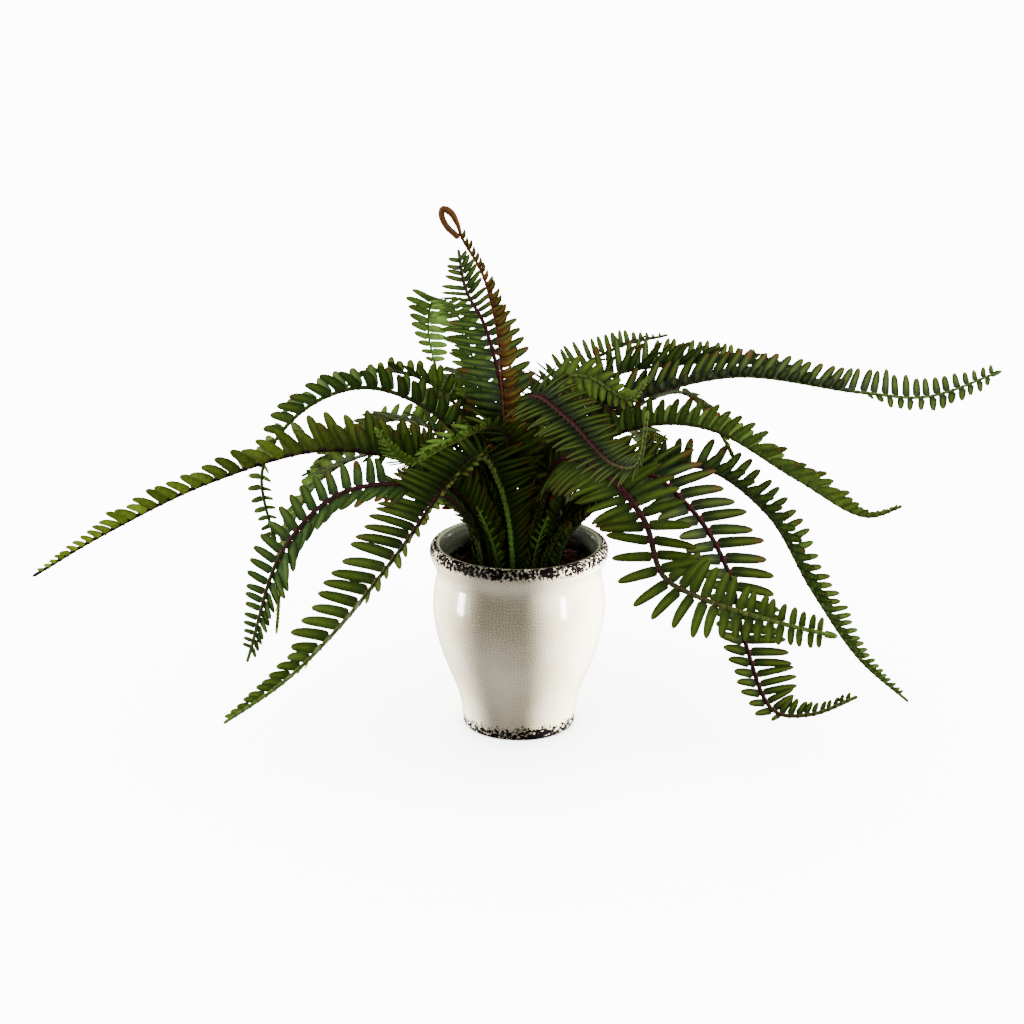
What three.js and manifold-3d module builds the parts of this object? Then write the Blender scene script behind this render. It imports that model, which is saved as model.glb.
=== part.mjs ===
// A potted sword fern: a glazed flowerpot filled with potting mix, a crown of arching fronds, two small
// shoots and one coppery young frond whose tip is still curled. Millimetres, +Z up. The origin is the
// middle of the pot's flat underside. +X is to the right and -Y is the front.

import * as THREE from 'three';
import { mergeVertices } from 'three/addons/utils/BufferGeometryUtils.js';
import Module from 'manifold-3d';

const wasm = await Module();
wasm.setup();

// ---------------------------------------------------------------- driving dimensions

const POT_HEIGHT = 134.5;
const POT_SIDES = 48;
const MIX_SIDES = 24; // fewer than the pot's, so the mix stays clear of its wall
const FOOT_RADIUS = 39.5;
const FOOT_EDGE = 2; // the small bevel round the underside
const WALL = 5;
const FLOOR_THICKNESS = 9;
const SIDE_STEPS = 8; // rings down the outside of the pot
const INSIDE_STEPS = 4; // rings down its inside
// The outside of the pot from the foot to the neck under the lip, as radius and height.
const POT_SIDE = [
  [FOOT_RADIUS, 7],
  [42.7, 24],
  [49.6, 42],
  [57, 64],
  [60.5, 87],
  [59.6, 101],
  [57.2, 113],
];
// The rolled lip, from the neck over the top to the inside.
const POT_LIP = [
  [58.6, 119],
  [62, 125],
  [62.6, 129.5],
  [60.8, 133.4],
  [58, POT_HEIGHT],
  [55.4, 133],
  [53.6, 127],
];

const GAP = 0.3; // left between pieces that touch
const SOIL_TOP = 104;
const SOIL_CROWN = 3; // how far the mix heaps up towards the stems
const SOIL_RINGS = [0.7, 0.35]; // rings of the heaped top, as shares of its radius
const SOIL_BUMP = 1.2; // the lumps of the top
const HOLE_DEPTH = 20;
const HOLE_SIDES = 6;

const STEM_THICKNESS = 3; // across the stalk where it leaves the mix
const STEM_TIP_THICKNESS = 1.3;
const STEM_STEP = 13; // length of one bare piece of stalk
const CURL_STEP = 4; // the same, round the curled tip
const STEM_ROOM = 0.4; // between a stalk and the sides of its hole
const CURVE_STEPS = 400; // to measure the length along a rib

const LEAFLET_WIDTH = 9;
const LEAFLET_SHARE = 0.72; // of the room between one leaflet and the next
const LEAFLET_BROADEST = 0.8; // width of the smallest leaflets, against their length
// The corners of a leaflet, as shares of its length, of its half width and of its droop.
const LEAFLET_CORNERS = {
  back: [0.66, -1, 0.4],
  front: [0.72, 1, 0.46],
  tip: [1, 0.1, 1],
  ridge: [0.55, 0, 0.25],
};
const LEAFLET_RIDGE = 0.9; // how far the midrib stands above the blade
const LEAFLET_DROOP = 0.12; // how far the tip sinks, as a share of the length
const LEAFLET_LEAN = [8, 34]; // degrees towards the frond's tip, at its base and at its tip
const VARIED = { length: 0.1, fold: 8, lean: 5 }; // from leaflet to leaflet, as a share and in degrees
const SHORTEST_LEAFLET = 2.6;
const TERMINAL_LEAFLET = 8;
const BARE_STALK = 34; // from the mix to the first leaflets
const CROWDING = 0.32; // how much closer the leaflets stand towards the tip

const CLEARANCE = 3.1; // between sample points of blades of different fronds
const SAMPLE_STEP = 2;
const SAMPLE_LANES = 5; // across a blade
const OUTER_SHARE = 0.5; // leaflets of one frond stand apart from here to their widest part, and on
const BESIDE_COUNT = 3; // how many earlier leaflets a new one is held clear of
const BESIDE_SHARE = 0.19; // how far apart they stay, against the room between two of them

// Each frond lies on an upright surface that leaves the pot's axis at a heading, in degrees from +X, and
// turns by some degrees in each 100 mm of reach. The route is reach and height. root is the reach of its
// foot in the mix. fold raises both rows of leaflets, and roll turns the whole blade about its rib, from
// its base to its tip.
const FRONDS = [
  { name: 'frond_front_left', heading: 222, turn: -4, root: 5, leaf: 31, pairs: 24, fold: 42,
    route: [[9, 150], [19, 183], [34, 203], [60, 191], [102, 150], [150, 104], [190, 73], [234, 50]] },
  { name: 'frond_front_right', heading: -47, turn: 5, root: 16, leaf: 33, pairs: 24, fold: 12,
    roll: [25, 80], route: [[20, 160], [42, 204], [75, 203], [111, 176], [127, 139], [155, 129], [217, 121],
      [252, 118]] },
  { name: 'frond_right_low', heading: -31, turn: 4, root: 18, leaf: 31, pairs: 24, fold: 15, roll: [20, 35],
    route: [[22, 128], [40, 160], [90, 199], [129, 177], [156, 135], [169, 85], [190, 38], [215, 38],
      [246, 54]] },
  { name: 'frond_right_hanging', heading: -17, turn: 3, root: 25, leaf: 27, pairs: 24, fold: 45,
    route: [[34, 140], [86, 188], [128, 198], [173, 167], [205, 113], [239, 63], [274, 31]] },
  { name: 'frond_left_long', heading: 190, turn: -3, root: 18, leaf: 31, pairs: 25, fold: 58,
    route: [[27, 150], [60, 188], [130, 206], [210, 184], [291, 141], [341, 108]] },
  { name: 'frond_right_long', heading: 4, turn: 2, root: 13, leaf: 26, pairs: 26, fold: 35, roll: [30, 35],
    route: [[20, 170], [45, 217], [84, 236], [150, 249], [241, 232], [292, 225], [348, 239]] },
  { name: 'frond_right', heading: -5, turn: -3, root: 21, leaf: 30, pairs: 22, fold: 50,
    route: [[28, 160], [50, 203], [90, 223], [134, 222], [192, 192], [240, 170], [265, 180]] },
  { name: 'frond_left_arched', heading: 165, turn: 5, root: 20, leaf: 29, pairs: 22, fold: 52,
    route: [[28, 165], [50, 216], [105, 241], [150, 225], [180, 182], [173, 125]] },
  { name: 'frond_left_low', heading: 204, turn: 3, root: 26, leaf: 27, pairs: 20, fold: 32,
    route: [[36, 150], [65, 181], [135, 191], [181, 159], [211, 86]] },
  { name: 'frond_left_drooping', heading: 177, turn: 2, root: 27, leaf: 24, pairs: 16, fold: 30,
    route: [[42, 165], [85, 199], [130, 186], [160, 143], [171, 66]] },
  { name: 'frond_crown_right', heading: -58, turn: 4, root: -10, leaf: 29, pairs: 18, fold: 12, roll: [15, 60],
    route: [[-8, 160], [-1, 215], [17, 244], [61, 237], [105, 218], [128, 223], [137, 262]] },
  { name: 'frond_crown_left', heading: 212, turn: 0, root: -12, leaf: 28, pairs: 15, fold: 12, roll: [15, 40],
    route: [[-8, 150], [2, 203], [20, 221], [55, 215], [90, 207], [114, 236]] },
  { name: 'frond_upright', heading: 118, turn: 0, root: 17, leaf: 31, pairs: 18, fold: 12,
    route: [[18, 180], [24, 232], [50, 277], [80, 298], [91, 324]] },
  { name: 'frond_back_left_arching', heading: 122, turn: 6, root: 24, leaf: 20, pairs: 14, fold: 15,
    route: [[30, 160], [45, 225], [75, 284], [98, 288], [104, 265], [96, 237]] },
  { name: 'frond_back_left', heading: 150, turn: 4, root: 13, leaf: 28, pairs: 13, fold: 30,
    route: [[22, 165], [39, 215], [74, 242], [115, 243], [140, 226]] },
  { name: 'frond_left_small', heading: 152, turn: 12, root: 20, leaf: 22, pairs: 11, fold: 30,
    route: [[26, 140], [54, 182], [110, 195], [155, 174]] },
  { name: 'frond_right_upper', heading: 14, turn: 3, root: 22, leaf: 30, pairs: 17, fold: 52,
    route: [[28, 170], [55, 243], [118, 253], [175, 247], [223, 233]] },
  { name: 'frond_back_right', heading: 45, turn: -5, root: 17, leaf: 30, pairs: 13, fold: 40,
    route: [[24, 170], [50, 243], [90, 258], [135, 261]] },
  { name: 'frond_right_small', heading: -25, turn: 0, root: 8, leaf: 22, pairs: 10, fold: 10, roll: [20, 50],
    route: [[12, 190], [28, 253], [50, 260], [82, 248], [96, 266]] },
  { name: 'frond_right_tucked', heading: 26, turn: -4, root: 27, leaf: 22, pairs: 12, fold: 25,
    route: [[34, 150], [60, 203], [121, 230], [151, 198], [163, 175]] },
  { name: 'frond_rear_right', heading: 62, turn: 4, root: 11, leaf: 30, pairs: 16, fold: 30,
    route: [[18, 170], [45, 222], [95, 226], [150, 192], [195, 142]] },
  { name: 'frond_rear_low', heading: 84, turn: -4, root: 24, leaf: 29, pairs: 16, fold: 32,
    route: [[31, 150], [60, 198], [115, 203], [165, 168], [205, 112]] },
  { name: 'frond_rear', heading: 102, turn: 5, root: 15, leaf: 30, pairs: 18, fold: 28,
    route: [[21, 170], [48, 218], [105, 224], [165, 194], [218, 150]] },
  { name: 'frond_rear_left', heading: 138, turn: 4, root: 26, leaf: 28, pairs: 16, fold: 35,
    route: [[33, 150], [60, 194], [110, 203], [160, 172], [200, 118]] },
  { name: 'frond_rear_small', heading: 46, turn: 5, root: 28, leaf: 26, pairs: 14, fold: 35,
    route: [[37, 145], [68, 184], [125, 190], [168, 152], [192, 100]] },
  { name: 'shoot_front', heading: 236, turn: 0, root: 25, leaf: 9, pairs: 9, fold: 15,
    route: [[27, 128], [36, 150], [52, 175]] },
  { name: 'shoot_right', heading: -66, turn: 0, root: 22, leaf: 9, pairs: 9, fold: 15,
    route: [[24, 126], [33, 146], [48, 168]] },
];

// The young frond, with the open ring of its curled tip.
const YOUNG_FROND = { name: 'young_frond', heading: 172, turn: 0, root: -4, leaf: 15, pairs: 14, fold: 55,
  route: [[6, 180], [11, 242], [15, 286], [25, 325], [39, 350], [42.4, 360], [47, 367.5], [52, 369.5], [53, 365],
    [49.5, 357.5], [43.4, 351.8]],
  bareStalk: 110, bareTip: 56, slender: 0.8 };

const COLOURS = {
  pot: 0xe8e4da,
  mix: 0x2a1d16,
  leaf: 0x35602a,
  shoot: 0x5a8a35,
  young: 0x8a5424,
};

// ---------------------------------------------------------------- small helpers

// Repeatable random numbers between 0 and 1.
function randomNumbers(seed) {
  let state = seed;
  return () => {
    state = (state * 1664525 + 1013904223) % 4294967296;
    return state / 4294967296;
  };
}

function material(colour, roughness) {
  return new THREE.MeshStandardMaterial({ color: colour, roughness, metalness: 0 });
}

function piece(name, geometry, meshMaterial) {
  const mesh = new THREE.Mesh(geometry, meshMaterial);
  mesh.name = name;
  return mesh;
}

function toSolid(geometry) {
  const bare = geometry.clone();
  bare.deleteAttribute('normal');
  bare.deleteAttribute('uv');
  const merged = mergeVertices(bare, 1e-4);
  return new wasm.Manifold(new wasm.Mesh({
    numProp: 3,
    vertProperties: new Float32Array(merged.attributes.position.array),
    triVerts: new Uint32Array(merged.index.array),
  }));
}

function toGeometry(solid) {
  const mesh = solid.getMesh();
  const geometry = new THREE.BufferGeometry();
  geometry.setAttribute('position', new THREE.BufferAttribute(mesh.vertProperties, 3));
  geometry.setIndex(new THREE.BufferAttribute(mesh.triVerts, 1));
  geometry.computeVertexNormals();
  return geometry;
}

// A solid of revolution about +Z from a profile of [radius, height] that starts and ends on the axis.
function turned(profile, sides) {
  const points = profile.map(([radius, height]) => new THREE.Vector2(radius, height));
  return new THREE.LatheGeometry(points, sides).rotateX(Math.PI / 2);
}

// ---------------------------------------------------------------- pot and potting mix

const sidePoints = POT_SIDE.map(([radius, height]) => new THREE.Vector2(radius, height));
const sideCurve = new THREE.SplineCurve(sidePoints);

// The inside wall from the lip down to the floor, each ring one wall thickness inside the outer curve.
function insideRings() {
  const rings = [];
  for (let step = INSIDE_STEPS; step >= 1; step -= 1) {
    const outer = sideCurve.getPoint(step / INSIDE_STEPS);
    rings.push([outer.x - WALL, outer.y]);
  }
  return [...rings, [FOOT_RADIUS - 2 * WALL, FLOOR_THICKNESS]];
}

function potGeometry() {
  const outside = sideCurve.getPoints(SIDE_STEPS).map((point) => [point.x, point.y]);
  return turned([
    [0, 0],
    [FOOT_RADIUS - FOOT_EDGE, 0],
    [FOOT_RADIUS, FOOT_EDGE],
    ...outside,
    ...POT_LIP,
    ...insideRings(),
    [0, FLOOR_THICKNESS],
  ], POT_SIDES);
}

function headingOf(frond, reach) {
  return THREE.MathUtils.degToRad(frond.heading + frond.turn * (reach / 100));
}

function placeOf(frond, reach, height) {
  const angle = headingOf(frond, reach);
  return new THREE.Vector3(reach * Math.cos(angle), reach * Math.sin(angle), height);
}

// The inside radius of the pot at a height between two of its rings.
function insideRadius(height) {
  const rings = insideRings();
  const below = rings.findIndex((ring) => ring[1] <= height);
  const [[highRadius, high], [lowRadius, low]] = [rings[below - 1], rings[below]];
  return THREE.MathUtils.mapLinear(height, low, high, lowRadius, highRadius);
}

function soilHeight(radius) {
  return SOIL_TOP + SOIL_CROWN * (1 - (radius / insideRadius(SOIL_TOP)) ** 2);
}

// The plug of mix before the stems' holes, with its heaped and lumpy top.
function plugGeometry() {
  const random = randomNumbers(7);
  const edge = insideRadius(SOIL_TOP) - GAP;
  const side = insideRings().filter(([, height]) => height < SOIL_TOP).reverse();
  const plug = turned([
    [0, FLOOR_THICKNESS + GAP],
    ...side.map(([radius, height], i) => [radius - GAP, i === 0 ? height + GAP : height]),
    [edge, SOIL_TOP],
    ...SOIL_RINGS.map((share) => [edge * share, soilHeight(edge * share)]),
    [0, soilHeight(0)],
  ], MIX_SIDES);
  const merged = mergeVertices(plug.deleteAttribute('normal').deleteAttribute('uv'), 1e-4);
  const places = merged.attributes.position;
  for (let i = 0; i < places.count; i += 1) {
    const lump = SOIL_BUMP * (random() - 0.5);
    if (places.getZ(i) > SOIL_TOP + 0.1) places.setZ(i, places.getZ(i) + lump);
  }
  return merged;
}

function mixGeometry(fronds) {
  const across = (STEM_THICKNESS / 2 + STEM_ROOM) / Math.cos(Math.PI / HOLE_SIDES);
  const top = SOIL_TOP + 2 * SOIL_CROWN;
  const bottom = SOIL_TOP - HOLE_DEPTH;
  let solid = toSolid(plugGeometry());
  for (const frond of fronds) {
    const hole = new THREE.CylinderGeometry(across, across, top - bottom, HOLE_SIDES).rotateX(Math.PI / 2);
    const foot = placeOf(frond, frond.root, (top + bottom) / 2);
    solid = solid.subtract(toSolid(hole.translate(foot.x, foot.y, foot.z)));
  }
  return toGeometry(solid);
}

// ---------------------------------------------------------------- fronds

// Points that blades already take up, in a grid of cells one clearance wide.
class TakenRoom {
  constructor() {
    this.cells = new Map();
  }

  cell(x, y, z) {
    return `${Math.floor(x / CLEARANCE)},${Math.floor(y / CLEARANCE)},${Math.floor(z / CLEARANCE)}`;
  }

  add(points, owner) {
    for (const point of points) {
      const key = this.cell(point.x, point.y, point.z);
      if (!this.cells.has(key)) this.cells.set(key, []);
      this.cells.get(key).push({ point, owner });
    }
  }

  isFree(points, owner) {
    return points.every((point) => this.pointIsFree(point, owner));
  }

  pointIsFree(point, owner) {
    for (const dx of [-CLEARANCE, 0, CLEARANCE]) {
      for (const dy of [-CLEARANCE, 0, CLEARANCE]) {
        for (const dz of [-CLEARANCE, 0, CLEARANCE]) {
          const near = this.cells.get(this.cell(point.x + dx, point.y + dy, point.z + dz)) ?? [];
          const others = near.filter((one) => one.owner !== owner);
          if (others.some((one) => one.point.distanceTo(point) < CLEARANCE)) return false;
        }
      }
    }
    return true;
  }
}

// The stations along a frond's rib: bare ones up the stalk, then one for each pair of leaflets and a last
// one. Each has its place, its share of the leafy length (below 0 on the stalk) and its own directions.
function stationsOf(frond) {
  const start = placeOf(frond, frond.root, soilHeight(frond.root) + GAP);
  const onward = frond.route.map(([reach, height]) => placeOf(frond, reach, height));
  const curve = new THREE.CatmullRomCurve3([start, ...onward], false, 'centripetal');
  curve.arcLengthDivisions = CURVE_STEPS;
  const length = curve.getLength();
  const bareStalk = frond.bareStalk ?? BARE_STALK;
  const bareTip = frond.bareTip ?? TERMINAL_LEAFLET;
  const leafy = length - bareStalk - bareTip;
  const distances = [];
  const bareSteps = Math.round(bareStalk / STEM_STEP);
  for (let i = 0; i < bareSteps; i += 1) distances.push([(bareStalk * i) / bareSteps, -1]);
  for (let i = 0; i <= frond.pairs; i += 1) {
    const share = i / frond.pairs;
    distances.push([bareStalk + leafy * (share + CROWDING * share * (1 - share)), share]);
  }
  const tipSteps = frond.bareTip ? Math.round(bareTip / CURL_STEP) : 0;
  for (let i = 1; i <= tipSteps; i += 1) distances.push([bareStalk + leafy + (bareTip * i) / tipSteps, -1]);
  const along = distances.map(([distance, share]) => {
    const t = Math.min(distance / length, 1);
    return station(frond, curve.getPointAt(t), curve.getTangentAt(t), share, t);
  });
  const foot = placeOf(frond, frond.root, SOIL_TOP - HOLE_DEPTH + GAP);
  const stations = [station(frond, foot, new THREE.Vector3(0, 0, 1), -1, 0), ...along];
  return { stations, tip: frond.bareTip ? null : curve.getPointAt(1) };
}

function station(frond, place, tangent, share, t) {
  const reach = Math.hypot(place.x, place.y) * Math.sign(frond.route.at(-1)[0]);
  const angle = headingOf(frond, reach);
  const side = new THREE.Vector3(Math.sin(angle), -Math.cos(angle), 0);
  side.addScaledVector(tangent, -side.dot(tangent)).normalize();
  const [rollStart, rollEnd] = frond.roll ?? [0, 0];
  side.applyAxisAngle(tangent, THREE.MathUtils.degToRad(THREE.MathUtils.lerp(rollStart, rollEnd, t)));
  const up = new THREE.Vector3().crossVectors(side, tangent);
  const thickness = THREE.MathUtils.lerp(STEM_THICKNESS, STEM_TIP_THICKNESS, t) * (frond.slender ?? 1);
  return { place, tangent, side, up, share, half: thickness / 2 };
}

// How long the leaflets are, from the frond's base at 0 to its tip at 1, against the longest.
function leafletSize(share) {
  return Math.min(1, 0.5 + 2.5 * share) * Math.sqrt(1 - share);
}

// One leaflet between two stations, on the right (1) or the left (-1) of the rib: its outline and ridge.
function leaflet(frond, from, to, hand, jitter, swing, shrink) {
  const share = (from.share + to.share) / 2;
  const pitch = from.place.distanceTo(to.place);
  const along = new THREE.Vector3().subVectors(to.place, from.place).normalize();
  const side = new THREE.Vector3().addVectors(from.side, to.side).multiplyScalar(hand);
  side.addScaledVector(along, -side.dot(along)).normalize();
  const up = new THREE.Vector3().crossVectors(side, along).multiplyScalar(hand);
  const root = new THREE.Vector3().addVectors(from.place, to.place).multiplyScalar(0.5);
  root.addScaledVector(side, from.half);
  const full = frond.leaf * leafletSize(share) * (1 + VARIED.length * jitter);
  const length = Math.max(SHORTEST_LEAFLET, full * shrink);
  const fold = THREE.MathUtils.degToRad(frond.fold + VARIED.fold * jitter + swing);
  const leaning = THREE.MathUtils.lerp(...LEAFLET_LEAN, share) + VARIED.lean * jitter;
  const lean = THREE.MathUtils.degToRad(leaning);
  const out = side.clone().multiplyScalar(Math.cos(fold)).addScaledVector(up, Math.sin(fold));
  const reach = out.clone().multiplyScalar(Math.cos(lean)).addScaledVector(along, Math.sin(lean));
  const face = new THREE.Vector3().crossVectors(out, along).multiplyScalar(hand);
  const halfWidth = Math.min(LEAFLET_WIDTH, LEAFLET_SHARE * pitch, LEAFLET_BROADEST * length) / 2;
  const corner = ([lengthwise, across, sink]) => root.clone()
    .addScaledVector(reach, length * lengthwise)
    .addScaledVector(along, across * halfWidth)
    .addScaledVector(face, -sink * length * LEAFLET_DROOP);
  return {
    back: corner(LEAFLET_CORNERS.back),
    front: corner(LEAFLET_CORNERS.front),
    tip: corner(LEAFLET_CORNERS.tip),
    ridge: corner(LEAFLET_CORNERS.ridge).addScaledVector(face, LEAFLET_RIDGE),
    root,
    rootBack: from.place.clone().addScaledVector(from.side, hand * from.half),
    rootFront: to.place.clone().addScaledVector(to.side, hand * to.half),
  };
}

// Points all over a blade, in lanes that run from its root by its widest part to its tip. A first share of
// the way to the widest part may be left out.
function samplesOf(blade, first = 0) {
  const points = [];
  for (let lane = -1; lane <= 1; lane += 2 / (SAMPLE_LANES - 1)) {
    const side = Math.abs(lane);
    const knee = blade.ridge.clone().lerp(lane < 0 ? blade.back : blade.front, side);
    const root = blade.root.clone().lerp(lane < 0 ? blade.rootBack : blade.rootFront, side).lerp(knee, first);
    for (const [start, end] of [[root, knee], [knee, blade.tip]]) {
      const steps = Math.ceil(start.distanceTo(end) / SAMPLE_STEP);
      for (let i = 0; i <= steps; i += 1) points.push(start.clone().lerp(end, i / steps));
    }
  }
  return points;
}

function samplesOfRib(stations) {
  const points = [];
  for (let i = 1; i < stations.length; i += 1) {
    const [start, end] = [stations[i - 1].place, stations[i].place];
    const steps = Math.ceil(start.distanceTo(end) / SAMPLE_STEP);
    for (let k = 0; k < steps; k += 1) points.push(start.clone().lerp(end, k / steps));
  }
  return points;
}

// The ways a leaflet may be bent clear of a neighbour, by swing in degrees and share of its length.
const WAYS_CLEAR = [
  [0, 1], [14, 1], [-14, 1], [26, 0.9], [-26, 0.9], [0, 0.7], [18, 0.6], [-18, 0.6], [0, 0.4],
];

// The first way in which a leaflet clears the other fronds and the last leaflets beside it, or null.
function clearLeaflet(frond, from, to, hand, jitter, beside, room) {
  const least = BESIDE_SHARE * from.place.distanceTo(to.place);
  for (const [swing, shrink] of WAYS_CLEAR) {
    const blade = leaflet(frond, from, to, hand, jitter, swing, shrink);
    const outer = samplesOf(blade, OUTER_SHARE);
    const clears = (other) => outer.every((point) => point.distanceTo(other) > least);
    const apart = beside.every((others) => others.every(clears));
    if (apart && room.isFree(samplesOf(blade), frond.name)) return blade;
  }
  return null;
}

// One closed body: a rib of four-sided rings, with the leaflets drawn out of its sides as one blade.
function frondGeometry(frond, ribs, room) {
  const { stations, tip } = ribs.get(frond.name);
  const random = randomNumbers(everyFrond.indexOf(frond) + 1);
  const places = [];
  const faces = [];
  const add = (point) => places.push(point.x, point.y, point.z) / 3 - 1;
  const loop = (...ids) => {
    for (let i = 2; i < ids.length; i += 1) faces.push(ids[0], ids[i - 1], ids[i]);
  };
  const rings = stations.map(({ place, side, up, half }) => ({
    left: add(place.clone().addScaledVector(side, -half)),
    top: add(place.clone().addScaledVector(up, half)),
    right: add(place.clone().addScaledVector(side, half)),
    bottom: add(place.clone().addScaledVector(up, -half)),
  }));

  const sideOf = (ring, hand) => (hand > 0 ? ring.right : ring.left);
  // Both faces of one side between two rings. The order of the corners turns round on the left.
  const side = (from, to, hand, blade) => {
    const outline = blade ? [blade.back, blade.tip, blade.front].map(add) : [];
    const upper = [from.top, sideOf(from, hand), ...outline, sideOf(to, hand), to.top];
    const roots = [from.bottom, to.bottom, sideOf(to, hand), sideOf(from, hand)];
    const lower = blade ? [sideOf(from, hand), sideOf(to, hand), outline[2], outline[0]] : [];
    const point = blade ? [outline[0], outline[2], outline[1]] : [];
    const turn = (ids) => (hand > 0 ? ids : ids.toReversed());
    if (blade) {
      const ridge = add(blade.ridge);
      upper.forEach((id, i) => loop(...turn([id, upper[(i + 1) % upper.length], ridge])));
      loop(...turn(lower));
      loop(...turn(point));
    } else {
      loop(...turn(upper));
    }
    loop(...turn(roots));
  };

  const beside = new Map([[1, []], [-1, []]]);
  for (let i = 1; i < rings.length; i += 1) {
    const [from, to] = [stations[i - 1], stations[i]];
    const leafy = from.share >= 0 && to.share >= 0;
    for (const hand of [1, -1]) {
      const jitter = random() - 0.5;
      const last = beside.get(hand).slice(-BESIDE_COUNT);
      const blade = leafy ? clearLeaflet(frond, from, to, hand, jitter, last, room) : null;
      if (blade) {
        room.add(samplesOf(blade), frond.name);
        beside.get(hand).push(samplesOf(blade, OUTER_SHARE));
      }
      side(rings[i - 1], rings[i], hand, blade);
    }
  }
  const first = rings[0];
  loop(first.top, first.left, first.bottom, first.right);
  const last = rings.at(-1);
  if (tip) {
    const end = add(tip);
    loop(last.top, last.right, end);
    loop(last.right, last.bottom, end);
    loop(last.bottom, last.left, end);
    loop(last.left, last.top, end);
  } else {
    loop(last.top, last.right, last.bottom, last.left);
  }
  const geometry = new THREE.BufferGeometry();
  geometry.setAttribute('position', new THREE.Float32BufferAttribute(places, 3));
  geometry.setIndex(faces);
  geometry.computeVertexNormals();
  return geometry;
}

// ---------------------------------------------------------------- the whole plant

const everyFrond = [...FRONDS, YOUNG_FROND];
const ribs = new Map(everyFrond.map((frond) => [frond.name, stationsOf(frond)]));
const room = new TakenRoom();
for (const frond of everyFrond) room.add(samplesOfRib(ribs.get(frond.name).stations), frond.name);

const group = new THREE.Group();
group.name = 'potted_fern';
group.add(piece('pot', potGeometry(), material(COLOURS.pot, 0.25)));
group.add(piece('potting_mix', mixGeometry(everyFrond), material(COLOURS.mix, 0.95)));
group.add(piece(YOUNG_FROND.name, frondGeometry(YOUNG_FROND, ribs, room), material(COLOURS.young, 0.5)));
for (const frond of FRONDS) {
  const colour = frond.name.startsWith('shoot') ? COLOURS.shoot : COLOURS.leaf;
  group.add(piece(frond.name, frondGeometry(frond, ribs, room), material(colour, 0.5)));
}

export default group;
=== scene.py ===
"""Looks of a potted sword fern: arching fronds of many leaflets in a crackle-glazed flowerpot.

The ribs follow the same routes as the solids that they replace. Routes and sizes are in millimetres, and
every mesh is made in metres.
"""

import logging
import math
from collections.abc import Sequence
from dataclasses import dataclass, field
from enum import Enum
from random import Random

import bpy
import numpy as np
from mathutils import Matrix, Vector, noise


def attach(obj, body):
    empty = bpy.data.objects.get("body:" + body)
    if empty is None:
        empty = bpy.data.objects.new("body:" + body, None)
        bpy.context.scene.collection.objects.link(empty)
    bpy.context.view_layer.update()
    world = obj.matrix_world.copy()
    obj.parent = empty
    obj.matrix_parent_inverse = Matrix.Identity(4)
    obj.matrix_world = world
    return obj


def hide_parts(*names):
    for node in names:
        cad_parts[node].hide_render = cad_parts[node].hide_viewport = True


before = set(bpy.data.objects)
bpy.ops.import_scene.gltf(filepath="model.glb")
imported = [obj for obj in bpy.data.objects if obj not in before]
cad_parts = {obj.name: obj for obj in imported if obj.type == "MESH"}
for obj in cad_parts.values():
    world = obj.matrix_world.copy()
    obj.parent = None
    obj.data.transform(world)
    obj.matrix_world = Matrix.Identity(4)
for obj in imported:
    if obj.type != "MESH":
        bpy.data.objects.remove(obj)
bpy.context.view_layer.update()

log = logging.getLogger("potted_fern")

MM = 0.001
BODY = "root"

Colour = tuple[float, float, float]
Pair = tuple[float, float]
Array = np.ndarray

# ---------------------------------------------------------------- shared sizes, millimetres

SOIL_TOP = 104.0
SOIL_CROWN = 3.0
SOIL_RADIUS = 53.4
HOLE_DEPTH = 20.0
GAP = 0.3


def srgb(red: int, green: int, blue: int) -> Colour:
    """Turns a screen colour of 0 to 255 into the linear colour that a shader takes.

    Args:
        red: The red part.
        green: The green part.
        blue: The blue part.

    Returns:
        The linear red, green and blue.
    """
    def linear(part: int) -> float:
        """Returns one part as linear light."""
        share = part / 255
        return share / 12.92 if share <= 0.04045 else ((share + 0.055) / 1.055) ** 2.4

    return linear(red), linear(green), linear(blue)


def blend(first: Colour, second: Colour, share: float) -> Colour:
    """Mixes two colours.

    Args:
        first: The colour at share 0.
        second: The colour at share 1.
        share: How much of the second colour there is.

    Returns:
        The mixed colour.
    """
    return tuple(a + (b - a) * share for a, b in zip(first, second))


def soil_height(radius: float) -> float:
    """Returns how high the heaped mix stands at a distance from the pot's axis."""
    return SOIL_TOP + SOIL_CROWN * (1 - (radius / SOIL_RADIUS) ** 2)


# ---------------------------------------------------------------- modelling helpers


def deselect_all() -> None:
    """Leaves no object selected or active."""
    if bpy.context.object and bpy.context.object.mode != "OBJECT":
        bpy.ops.object.mode_set(mode="OBJECT")
    bpy.ops.object.select_all(action="DESELECT")


def take(piece: bpy.types.Object) -> None:
    """Selects one object alone and makes it the active one."""
    deselect_all()
    piece.select_set(True)
    bpy.context.view_layer.objects.active = piece


def edit_all() -> None:
    """Opens the active object for editing, with all of it selected."""
    bpy.ops.object.mode_set(mode="EDIT")
    bpy.ops.mesh.select_all(action="SELECT")


def face_outward() -> None:
    """Turns every face outward and ends the editing."""
    bpy.ops.mesh.select_all(action="SELECT")
    bpy.ops.mesh.normals_make_consistent(inside=False)
    bpy.ops.object.mode_set(mode="OBJECT")


def apply_modifier(piece: bpy.types.Object, kind: str, **settings: object) -> None:
    """Adds a modifier with its settings and applies it at once.

    Args:
        piece: The object that gets it.
        kind: The modifier's type, as Blender names it.
        **settings: Values for the modifier's own properties.
    """
    take(piece)
    modifier = piece.modifiers.new(kind.title(), kind)
    for name, value in settings.items():
        setattr(modifier, name, value)
    bpy.ops.object.modifier_apply(modifier=modifier.name)


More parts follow.
